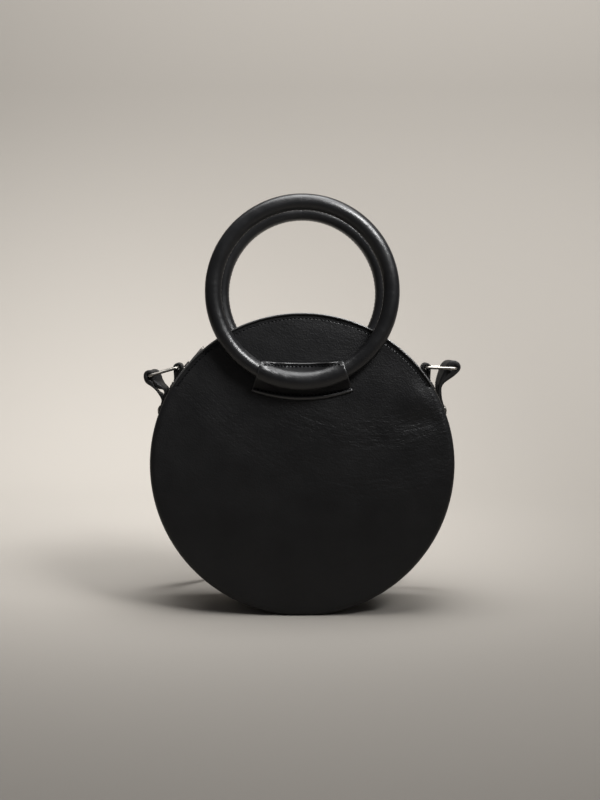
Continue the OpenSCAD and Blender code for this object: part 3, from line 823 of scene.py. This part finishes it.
def make_tape(name, side, replaced):
    """A zip tape whose inner edge closes up beyond the last teeth."""
    angles = np.arange(ZIP_FROM - 2, ZIP_TO + 2.01, 0.5)
    open_part = eased((angles - TEETH_FROM + 2) / 0.6) * eased((TEETH_TO + 2 - angles) / 0.6)
    inner = TAPE_GAP + (CHAIN_W / 2 + SEAT - TAPE_GAP) * open_part
    share = np.array([0, 0.02, 0.15, 0.3, 0.5, 0.75, 1.0])
    h = inner[:, None] + (TAPE_W - inner[:, None]) * share
    top = joined(TAPE_R, h)
    top[:, 0, 0] -= 0.2
    under = joined(TAPE_R - TAPE_T, h[:, ::-2])
    profiles = np.concatenate([top, under], axis=1)
    grid = turned(angles, profiles, side)
    uv = joined(np.radians(angles)[:, None] * TAPE_R, profiles[..., 1])
    piece = grid_piece(name, grid, MATERIALS["tape"], ring_v=True, uv=uv)
    return place(piece, "bag", [replaced])


def make_teeth(name, side, offset, replaced):
    """A row of teeth along the arch; the two rows are half a step apart."""
    step = math.degrees(TOOTH_PITCH / CHAIN_R)
    count = int((TEETH_TO - TEETH_FROM) / step)
    angles = TEETH_FROM + (np.arange(count) + offset) * step
    points = turned(angles, [[CHAIN_R, CHAIN_W / 2 - TOOTH_L / 2]], side)[:, 0]
    flip = math.pi if side > 0 else 0.0
    turns = joined(flip, -np.radians(angles), 0)
    piece = repeated(name, points, "turn", turns, TEETH, {
        "Width": TOOTH_T * MM, "Height": TOOTH_H * MM, "Length": TOOTH_L * MM,
        "Material": MATERIALS["teeth"],
    })
    return place(piece, "bag", [replaced])


def make_lining(name, side, replaced):
    """The cloth behind a face's board, laid with a little slack."""
    radii = np.linspace(0, LINING_R, 34)
    drop = LEATHER + BOARD + 0.25
    top = joined(radii, face_h(radii) - drop)
    under = top[::-1] - [0, LINING_T]
    grid = turned(np.arange(0, 360, 2.5), np.concatenate([top, under]), side)
    grid[..., 1] += 0.05 * noise_at(grid, 9, 12)
    piece = grid_piece(name, grid, MATERIALS["lining"], ring_u=True)
    return place(piece, "bag", [replaced])


def make_gusset_lining():
    """The cloth inside the gusset, which ends 4 degrees before each end of the zip."""
    angles = np.arange(ZIP_TO + 4, ZIP_FROM + 356.1, 1.5)
    h = np.linspace(0.5 - SEAM_H, SEAM_H - 0.5, 24)
    outer = joined(GUSSET_R - LEATHER - SEAT, h)
    grid = turned(angles, np.concatenate([outer, outer[::-1] - [LINING_T, 0]]), 1)
    piece = grid_piece("gusset_lining_cloth", grid, MATERIALS["lining"], ring_v=True)
    return place(piece, "bag", ["gusset_lining"])


# Ring handles and patches

def ring_section(angles, v):
    """Radius of the wrapped tube: a sewn ridge, a butt joint at the top, and fine puckers inside."""
    u = angles[:, None]
    seam = (v[None] - SEAM_ANGLE + 180) % 360 - 180
    joint = (u - JOINT_ANGLE + 180) % 360 - 180
    r = TUBE_R + 0.35 * hump(seam, 0, 6) - 0.25 * hump(seam, 0, 1.7) - 0.06 * hump(joint, 0, 0.35)
    a, b = np.radians(u), np.radians(v)
    around = joined(np.cos(a) * 20, np.sin(a) * 20, np.cos(b))
    inside = 0.5 - 0.5 * np.cos(b)[None]
    puckers = 0.09 * noise_at(around, (1.1, 1.1, 3.5), 13) * (0.35 + inside)
    return r + puckers + 0.05 * noise_at(around, 5, 14)


def make_ring(name, side, body, replaced):
    """A ring's leather wrap, with more points at the joint and on the inner side."""
    at_joint = np.arange(JOINT_ANGLE - 2.45, JOINT_ANGLE + 2.5, 0.3)
    angles = np.sort(np.concatenate([np.arange(0, 360, 1.0), at_joint]))
    inner_side = np.arange(122, 149, 1.7)
    v = np.sort(np.concatenate([np.arange(0, 360, 7.5), inner_side]))
    section = ring_section(angles, v)
    profiles = [RING_R, RING_H] + polar(v, section)
    grid = turned(angles, profiles, side, RING_Z)
    piece = grid_piece(name, grid, MATERIALS["wrap"], ring_u=True, ring_v=True, sharp=60)
    return place(piece, body, [replaced])


def ring_stitches(name, side, body):
    """The row of stitches beside the ring's seam."""
    angles = np.arange(0, 360.1, 1.0)
    r, h = polar(SEAM_ANGLE + 13, TUBE_R - 0.02)
    row = turned(angles, [[RING_R + r, RING_H + h]], side, RING_Z)[:, 0]
    return sewn(name, [row], body, pitch=3.0, length=2.2, thickness=0.45)


def patch_edges(s):
    """The two ends of the patch's column at s across it, from -1 to 1, from the ring's middle."""
    return [np.array([half * s, low + rise * s * s]) for half, low, rise in (PATCH_TOP, PATCH_LOW)]


def over_tube(rho):
    """Height of leather that lies over the ring, at rho from the ring's axis."""
    d = np.clip((rho - RING_R) / PATCH_OUT_R, -1, 1)
    return np.where(np.abs(d) < 1, RING_H + PATCH_OUT_R * np.sqrt(1 - d * d), 0)


def pulled_tight(w, h, count):
    """A sheet pulled tight over points, as that many points at even steps along it."""
    hull = []
    for p in zip(w, h):
        while len(hull) > 1:
            (x0, y0), (x1, y1) = hull[-2:]
            if (x1 - x0) * (p[1] - y0) < (y1 - y0) * (p[0] - x0):
                break
            hull.pop()
        hull.append(p)
    hull = np.array(hull)
    reach = length_along(hull)
    return at_steps(hull, reach, np.linspace(0, reach[-1], count))


# A patch's rolled edges: how far along the patch, and how high over the face
PATCH_TOP_LIP = [
    (0, 0.1), (0, 0.9), (0.08, 1.35), (0.3, 1.75), (0.65, 1.95), (1.0, 1.9), (1.3, 1.7), (1.6, 1.55),
    (2.25, 1.5), (2.8, 1.6),
]
PATCH_LOW_LIP = [
    (0.3, 0.95), (0.6, 1.7), (1.0, 2.15), (1.6, 2.35), (2.3, 2.25), (2.9, 1.85), (3.35, 1.3), (3.6, 0.6),
    (3.6, 0.1),
]
PATCH_SHEET_STEPS = 44


def column(s):
    """The patch's outer and inner lines at s across it: from the ring's middle, as x, height and z."""
    upper, lower = patch_edges(s)
    reach = np.linalg.norm(lower - upper)
    way = (lower - upper) / reach
    sew_top, sew_low = PATCH_SEW_TOP, reach - PATCH_SEW_LOW + 1.2 * s * s

    def spot(w):
        return upper + way * np.asarray(w, float)[..., None]

    def rho(w):
        return np.linalg.norm(spot(w), axis=-1)

    def face(w):
        return face_h(np.linalg.norm(spot(w) + [0, RING_Z - CENTRE_Z], axis=-1))

    lift = eased((rho(sew_top) - PATCH_CLIMB_R) / PATCH_CLIMB_W)

    def sewn_down(w, h):
        on_tube = over_tube(np.maximum(rho(w), RING_R - PATCH_OUT_R + 0.2)) + h - PATCH_T
        return (face(w) + h) * (1 - lift) + on_tube * lift

    top = np.array([(w, sewn_down(w, h)) for w, h in PATCH_TOP_LIP])
    w = np.linspace(sew_top, sew_low, 120)
    h = over_tube(rho(w))
    h[0], h[-1] = sewn_down(sew_top, 1.7), face(sew_low) + 0.9
    sheet = pulled_tight(w, h, PATCH_SHEET_STEPS)
    wider = (reach - sew_low) / PATCH_SEW_LOW
    low = np.array([(sew_low + w * wider, face(sew_low + w * wider) + h) for w, h in PATCH_LOW_LIP])
    outer = np.concatenate([top, sheet, low])
    t = ways(outer)
    inner = (outer - left_of(t) * PATCH_T)[2:-2]
    inner[:, 0] = np.clip(inner[:, 0], 0.1, reach - 0.1)
    inner[:, 1] = np.maximum(inner[:, 1], face(inner[:, 0]) + 0.12)
    lines = []
    for line in (outer, inner):
        p = spot(line[:, 0])
        lines.append(joined(p[:, 0], line[:, 1], p[:, 1]))
    return lines


def on_side(points, side):
    """Points of a patch, from its ring's middle, set on the front or the back."""
    return joined(points[..., 0], -side * points[..., 1], points[..., 2] + RING_Z)


def make_patch(name, side, replaced):
    """The leather patch pulled over the foot of a ring, its edges sewn down on the face."""
    shares = np.concatenate([[-1, -0.992, -0.975], np.linspace(-0.95, 0.95, 77), [0.975, 0.992, 1]])
    columns = [column(s) for s in shares]
    outer = np.array([c[0] for c in columns])
    inner = np.array([c[1] for c in columns])
    normal = unit(np.cross(np.gradient(outer, axis=0), np.gradient(outer, axis=1)))
    eased_edge = np.clip(1 - (1 - np.abs(shares)) / 0.035, 0, 1) ** 2 * 0.6
    wrinkle = 0.12 * noise_at(outer, (4, 12, 16), 15) * eased((outer[..., 1] - 40) / 4)
    wrinkle[:, [0, 1, -1]] = 0
    outer += normal * wrinkle[..., None]
    outer[:, 1:-1, 1] -= eased_edge[:, None]
    grid = on_side(np.concatenate([outer, inner[:, ::-1]], axis=1), side)
    last_column, last_row = len(shares) - 4, outer.shape[1]
    piece = grid_piece(
        name, grid, MATERIALS["wrap"], ring_v=True, sharp=55, marked=lambda i, j: (
            (j < 5) | (j >= last_row - 8) & (j < last_row) | (i < 2) | (i > last_column)
        ),
    )
    seams = (len(PATCH_TOP_LIP) - 2, len(PATCH_TOP_LIP) + PATCH_SHEET_STEPS - 1)
    rows = [on_side(outer[4:-4, k] + [0, 0.3, 0], side) for k in seams]
    stitches = sewn(
        name + "_stitches", rows, None, pitch=2.65, length=1.8, thickness=1.1, slant=22 * side
    )
    for each, nodes in ((piece, [replaced]), (stitches, [])):
        place(each, None, nodes)
        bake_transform(each)
    return piece


# Tabs, links, strap

def strip_section(width, thickness, crease):
    """Section of a flat strap with eased edges and a pressed line near each edge, as height and width."""
    a, b = thickness / 2, width / 2
    quarter = np.array([
        (a - 0.04, 0), (a, b * 0.5), (a, b - crease - 0.5), (a - 0.16, b - crease), (a, b - crease + 0.5),
        (a - 0.1, b - 0.35), (a - 0.4, b - 0.06), (0, b),
    ])
    right = np.concatenate([quarter, (quarter * [-1, 1])[-2::-1]])
    left = (right * [1, -1])[-2:0:-1]
    return np.concatenate([right, left])


def strip(name, line, broad, width, thickness, crease=1.5, taper=1, thick=1, first=None, last=None):
    """A leather strip along a line, its width along broad.

    taper and thick scale its section, and first and last give its directions at the ends."""
    t = ways(line)
    if first is not None:
        t[0] = first
    if last is not None:
        t[-1] = last
    b = unit(broad - t * np.sum(broad * t, axis=-1, keepdims=True))
    n = np.cross(t, b)
    section = strip_section(width, thickness, crease)
    thick, taper = (np.broadcast_to(share, len(line))[:, None, None] for share in (thick, taper))
    grid = (
        line[:, None] + n[:, None] * section[None, :, :1] * thick
        + b[:, None] * section[None, :, 1:] * taper
    )
    uv = joined(length_along(line)[:, None], section[None, :, 1])
    edge = np.abs(section[:, 1]) > width / 2 - 0.4
    return grid_piece(
        name, grid, MATERIALS["strap"], ring_v=True, uv=uv, sharp=50,
        marked=lambda i, j: edge[j] & edge[(j + 1) % len(edge)], edge="cut",
    )


def in_plane(points, side_name):
    """Points of the plane across the bag, mirrored to the side named."""
    p = np.asarray(points, float)
    return joined(SIDES[side_name] * p[:, 0], 0, p[:, 1])


def gusset_polar(angle, radius):
    return polar(angle, radius) + [0, CENTRE_Z]


def make_tab(side_name):
    """A side tab: a strip sewn to the gusset and folded round the link's inner bar."""
    bar = np.array(TAB_BAR)
    foot, lap = 28.7, 33
    under = GUSSET_R + SEAT
    meet = gusset_polar(lap, under + TAB_T)
    way = unit(meet - bar)
    heading = math.degrees(math.atan2(way[1], way[0]))
    around = bar + polar(np.linspace(heading + 86, heading + 274, 17), WIRE_R + PLAY + 1.2)
    outer = gusset_polar(np.linspace(foot, lap - 0.4, 4), under + TAB_T * 1.5)
    inner = gusset_polar(np.linspace(lap - 0.4, foot, 4), under + TAB_T * 0.5)
    flat = smooth(np.concatenate([outer, around, inner]), 3)
    along, off = (flat - bar) @ way, np.abs((flat - bar) @ left_of(way))
    clear = WIRE_R + PLAY
    hole = np.sqrt(np.clip(clear ** 2 - np.maximum(along, 0) ** 2, 0, None))
    room = np.where(along > 0, off - hole, np.linalg.norm(flat - bar, axis=1) - clear) - TAB_T / 2
    extra = np.clip(room, 0, 2.5)
    line = in_plane(flat + left_of(ways(flat)) * extra[:, None] / 2, side_name)
    reach = length_along(line)
    taper = 1 - 0.12 * np.exp(-reach / 0.7) - 0.12 * np.exp(-(reach[-1] - reach) / 0.7)
    fat = 1 + extra / TAB_T
    name = side_name + "_tab"
    broad = np.tile(ACROSS, (len(line), 1))
    piece = strip(name + "_leather", line, broad, TAB_W, TAB_T, crease=1.3, taper=taper, thick=fat)
    place(piece, "bag", [name])
    low, high, half = foot + 0.7, lap - 0.5, TAB_W / 2 - 1.4
    corners = [(low, -half), (high, -half), (high, half), (low, half), (low, -half)]
    row = []
    for (a0, y0), (a1, y1) in zip(corners, corners[1:]):
        for share in np.linspace(0, 1, 8)[:-1]:
            point = on_gusset(a0 + (a1 - a0) * share, under + TAB_T * 2, y0 + (y1 - y0) * share)
            row.append(point * [SIDES[side_name], 1, 1])
    sewn(name + "_stitches", [row], "bag", pitch=2.4, length=1.8, thickness=0.5)


def rounded(corners, radius, steps):
    """A closed line through corners, each rounded."""
    corners = np.asarray(corners, float)
    line = []
    for i, here in enumerate(corners):
        before = unit(here - corners[i - 1])
        after = unit(corners[(i + 1) % len(corners)] - here)
        turn = math.degrees(math.acos(before @ after))
        left = left_of(before)
        middle = here - before * radius * math.tan(math.radians(turn / 2)) + left * radius
        start = math.degrees(math.atan2(-left[1], -left[0]))
        line += (middle + polar(start + turn * np.arange(steps + 1) / steps, radius)).tolist()
    return np.array(line)


def make_link(side_name):
    """A trapezoid loop of polished wire."""
    corners = [(0, -LINK_IN), (LINK_L, -LINK_OUT), (LINK_L, LINK_OUT), (0, LINK_IN)]
    flat = rounded(corners, radius=2.4, steps=8)
    dense = []
    for a, b in zip(flat, np.roll(flat, -1, axis=0)):
        count = max(1, int(np.linalg.norm(b - a) / 1.5))
        dense += [a + (b - a) * k / count for k in range(count)]
    flat = np.array(dense)
    droop = math.radians(DROOPS[side_name])
    along = np.array([SIDES[side_name] * math.cos(droop), 0, -math.sin(droop)])
    line = in_plane([TAB_BAR], side_name) + flat[:, :1] * along + flat[:, 1:] * ACROSS
    t = unit(np.roll(line, -1, axis=0) - np.roll(line, 1, axis=0))
    up = np.cross(along, ACROSS)
    out = np.cross(t, up)
    v = np.radians(np.arange(0, 360, 18))
    grid = line[:, None] + WIRE_R * (
        out[:, None] * np.cos(v)[None, :, None] + up[None, None] * np.sin(v)[None, :, None]
    )
    name = side_name + "_link"
    piece = grid_piece(name + "_wire", grid, MATERIALS["nickel"], ring_u=True, ring_v=True, sharp=60)
    place(piece, side_name + "_strap_link", [name])


def make_strap_end(side_name):
    """The folded strap end: up the outer ply, over the bar, and down the inner ply.

    Round the bar, and between the plies, the leather thickens until it fills its loop, apart from
    the slit that is seen through on the left."""
    loop = np.array(LOOPS[side_name], float)
    steps = np.array([TIP_ANGLE, 19.2, RIVET_ANGLE, 22])
    outer, inner = [
        np.column_stack([gusset_polar(angles, PLY_R + out * (PLY_T / 2 + 0.01)), 0 * angles])
        for angles, out in ((steps, 1), (steps[::-1], -1))
    ]
    line = smooth(np.concatenate([outer, loop, inner]), 4)
    twist = np.radians(line[:, 2])
    side = SIDES[side_name]
    broad = joined(-side * np.sin(twist), np.cos(twist), 0)
    bar = np.array(TAB_BAR) + polar(-DROOPS[side_name], LINK_L)
    flat = line[:, :2]
    reach = length_along(flat)
    share = reach / reach[-1]
    head = eased((share - 0.12) / 0.06) * eased((0.9 - share) / 0.06)
    from_bar = np.linalg.norm(flat - bar, axis=1) - (WIRE_R + 0.8)
    other_ply = np.abs(reach[:, None] - reach) > 11
    gap = np.where(other_ply, np.linalg.norm(flat[:, None] - flat, axis=2), np.inf).min(axis=1) - PLY_T
    open_slit = np.exp(-(((flat[:, 1] - SLITS[side_name]) / 3.4) ** 4))
    most = 2.6
    extra = np.minimum(np.clip(from_bar, 0, most), gap / 2 + 0.1).clip(0) * head * (1 - open_slit)
    line = in_plane(flat + left_of(ways(flat)) * extra[:, None] / 2, side_name)
    taper = 1 - 0.22 * hump(length_along(line), 0, 1.6)
    name = side_name + "_strap_end"
    piece = strip(name + "_leather", line, broad, STRAP_W, PLY_T, taper=taper, thick=1 + extra / PLY_T)
    place(piece, side_name + "_strap_link", [name])


def make_rivet(side_name):
    """A rivet: its domed head with a rim, its shank, and its flat cap behind the plies."""
    side = SIDES[side_name]
    shank_r, cap_r, seat = 1.2, 2.4, PLY_T + SEAT
    foot = [
        (0, -seat - 0.4), (cap_r - 0.2, -seat - 0.4), (cap_r, -seat - 0.3), (cap_r, -seat), (shank_r, -seat),
        (shank_r, seat - 0.15), (RIVET_R - 0.1, seat - 0.15), (RIVET_R + 0.05, seat - 0.1),
    ]
    dome = [
        (RIVET_R * math.cos(a), seat + RIVET_DOME * math.sin(a)) for a in np.radians(np.linspace(0, 90, 9))
    ]
    profile = np.array(foot + dome)
    x, z = polar(RIVET_ANGLE, 1.0)
    out = np.array([side * x, 0, z])
    up = np.array([-side * z, 0, x])
    base = on_gusset(RIVET_ANGLE, PLY_R, 0) * [side, 1, 1]
    v = np.radians(np.arange(0, 360, 11.25))[:, None, None]
    grid = base + profile[None, :, :1] * (np.cos(v) * up + np.sin(v) * ACROSS) + profile[None, :, 1:] * out
    name = side_name + "_strap_rivet"
    piece = grid_piece(name + "_dome", grid, MATERIALS["nickel"], ring_u=True, sharp=35)
    place(piece, side_name + "_strap_link", [name])


def coil_mouth_way():
    """The way in which the strap goes into its coil."""
    return unit(np.array([-COIL_R, COIL_LAYER / math.pi, 0.0]))


def run_line(side_name):
    """A run's line from the strap end's tip to the coil's mouth, with the way its width lies."""
    side = SIDES[side_name]
    tip = in_plane([gusset_polar(TIP_ANGLE, PLY_R - STRAP_T / 2)], side_name)[0]
    mouth = np.array([0, COIL_Y - side * COIL_R, STRAP_W / 2])
    down = np.array([side * math.sin(math.radians(TIP_ANGLE)), 0, -math.cos(math.radians(TIP_ANGLE))])
    line = smooth([tip + down * PLAY, *ROUTES[side_name], mouth - side * coil_mouth_way() * PLAY], 6)
    line[0] = tip
    line[-1] = mouth
    share = np.arange(len(line)) / (len(line) - 1)
    turn = np.radians(90 * eased((share - TURN_SHARES[0]) / (TURN_SHARES[1] - TURN_SHARES[0])))
    broad = joined(0, np.cos(turn), np.sin(turn))
    return line, broad, down


def make_run(side_name):
    """A run of the strap, from its link down to where it lies on the floor."""
    line, broad, down = run_line(side_name)
    name = side_name + "_strap_run"
    mouth_way = SIDES[side_name] * coil_mouth_way()
    piece = strip(name + "_leather", line, broad, STRAP_W, STRAP_T, first=down, last=mouth_way)
    place(piece, None, [name])
    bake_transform(piece)


def coil_line():
    """Both halves of the strap wind in side by side and join in an S at the middle."""
    steps = 48
    half_turns = steps // 2
    turns = round((COIL_R - COIL_CORE_R) / (2 * COIL_LAYER) * half_turns) / half_turns
    i = np.arange(round(turns * steps) + 1)
    arm = polar(-90 - 360 * i / steps, COIL_R - 2 * COIL_LAYER * i / steps)
    tip = arm[-1]
    a = -np.radians(360 * np.arange(1, half_turns) / steps)
    turned_tip = joined(tip[0] * np.cos(a) - tip[1] * np.sin(a), tip[0] * np.sin(a) + tip[1] * np.cos(a))
    heart = (tip + turned_tip) / 2
    flat = np.concatenate([arm, heart, [[0, 0]], -heart[::-1], -arm[::-1]])
    return joined(flat[:, 0], flat[:, 1] + COIL_Y, STRAP_W / 2)


def make_coil():
    """The middle of the strap, rolled up on its edge behind the bag."""
    line = coil_line()
    piece = strip(
        "strap_coil_leather", line, np.tile([0.0, 0.0, 1.0], (len(line), 1)), STRAP_W, STRAP_T,
        first=coil_mouth_way(), last=coil_mouth_way(),
    )
    place(piece, "bag", ["strap_coil"])


# Nodes that keep their solid's shape

def repaint(mesh, material):
    """Gives a mesh this one material."""
    mesh.materials.clear()
    mesh.materials.append(material)


def eased_metal(node, body, width, material):
    """A copy of a metal node whose sharp edges are rounded."""
    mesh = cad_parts[node].data.copy()
    mesh.name = node + "_metal"
    shell = bmesh.new()
    shell.from_mesh(mesh)
    bmesh.ops.remove_doubles(shell, verts=shell.verts, dist=1e-6)
    bmesh.ops.dissolve_limit(shell, angle_limit=math.radians(2), verts=shell.verts, edges=shell.edges)
    edges = [e for e in shell.edges if len(e.link_faces) == 2 and e.calc_face_angle(0) > math.radians(35)]
    bmesh.ops.bevel(
        shell, geom=edges, offset=width * MM, segments=2, profile=0.6, affect="EDGES", clamp_overlap=True,
    )
    shell.to_mesh(mesh)
    shell.free()
    mesh.shade_smooth()
    mesh.set_sharp_from_angle(angle=math.radians(45))
    repaint(mesh, material)
    return place(in_scene(node + "_metal", mesh), body, [node])


# Studio

def make_stage():
    """A pale floor, just under the bag, that curves up into a wall; in metres."""
    floor_y, wall_y, radius, half, height, drop = -0.95, 1.1, 0.6, 4.0, 4.0, 0.0006
    curve = [(floor_y, 0.0), (wall_y - radius, 0.0)]
    curve += [
        (wall_y - radius + radius * math.sin(a), radius - radius * math.cos(a))
        for a in np.radians(np.linspace(6, 84, 14))
    ]
    curve += [(wall_y, radius), (wall_y, height)]
    mesh = bpy.data.meshes.new("studio_floor")
    points = [(x, y, z - drop) for y, z in curve for x in (-half, half)]
    mesh.from_pydata(points, [], [(2 * k, 2 * k + 1, 2 * k + 3, 2 * k + 2) for k in range(len(curve) - 1)])
    mesh.shade_smooth()
    s = Shader("studio_paper", (0.31, 0.288, 0.26), Roughness=0.9)
    s.bump(s.noise(s.coordinates(), 60, 3), 0.2, 0.2)
    mesh.materials.append(s.material)
    piece = in_scene("studio_floor", mesh)


def area_light(name, place_at, aim, size, power, spread):
    """A lamp of this size, in metres and watts, turned towards a point."""
    data = bpy.data.lights.new(name, "AREA")
    data.shape = "RECTANGLE"
    data.size, data.size_y = size
    data.energy = power
    data.spread = math.radians(spread)
    lamp = in_scene(name, data)
    lamp.location = place_at
    lamp.rotation_euler = (Vector(aim) - Vector(place_at)).to_track_quat("-Z", "Y").to_euler()


def make_lights():
    """Soft lamps on the bag and on the wall behind it, and a faint light from all round."""
    area_light(
        "key_softbox", (0.42, -0.42, 0.78), aim=(0.05, 0.05, 0.42), size=(0.45, 0.35), power=2.3, spread=50
    )
    area_light(
        "top_softbox", (0.06, -0.16, 0.95), aim=(0.02, -0.06, 0.2), size=(0.6, 0.6), power=2.1, spread=90
    )
    area_light(
        "wall_softbox", (0.3, 0.3, 1.7), aim=(0.2, 1.1, 0.45), size=(2.4, 0.9), power=27, spread=105
    )
    world = bpy.data.worlds.new("studio_air")
    world.use_nodes = True
    air = world.node_tree.nodes["Background"]
    air.inputs["Color"].default_value = (0.9, 0.9, 0.92, 1)
    air.inputs["Strength"].default_value = 0.12
    bpy.context.scene.world = world
    bpy.context.scene.view_settings.view_transform = "Standard"


def make_bag():
    """Every piece, the cords first."""
    for name in SIDES:
        make_run(name)
    make_coil()
    for word, side, relief, offset in (("front", 1, front_relief, 0), ("back", -1, back_relief, 0.5)):
        make_panel(word + "_face", side, relief, word + "_panel")
        groove_stitches(word + "_groove_stitches", side)
        make_band(word + "_band_leather", side, word + "_zip_band")
        band_stitches(word + "_band_stitches", side)
        make_tape(word + "_tape_cloth", side, word + "_zip_tape")
        make_teeth(word + "_teeth_row", side, offset, word + "_zip_teeth")
        make_lining(word + "_lining_cloth", side, word + "_lining")
        make_ring(word + "_ring_leather", side, word + "_ring", word + "_ring_wrap")
        ring_stitches(word + "_ring_stitches", side, word + "_ring")
        make_patch(word + "_patch_leather", side, word + "_keeper")
        repaint(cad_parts[word + "_stiffener"].data, MATERIALS["board"])
        repaint(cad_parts[word + "_ring_core"].data, MATERIALS["wood"])
    make_gusset()
    make_gusset_lining()
    for name in SIDES:
        make_tab(name)
        make_link(name)
        make_strap_end(name)
        make_rivet(name)
    eased_metal("zip_slider", "slider", 0.2, MATERIALS["nickel"])
    eased_metal("zip_pull", "pull", 0.18, MATERIALS["pull"])
    eased_metal("zip_stops", "bag", 0.15, MATERIALS["teeth"])


make_camera()
make_bag()
make_stage()
make_lights()
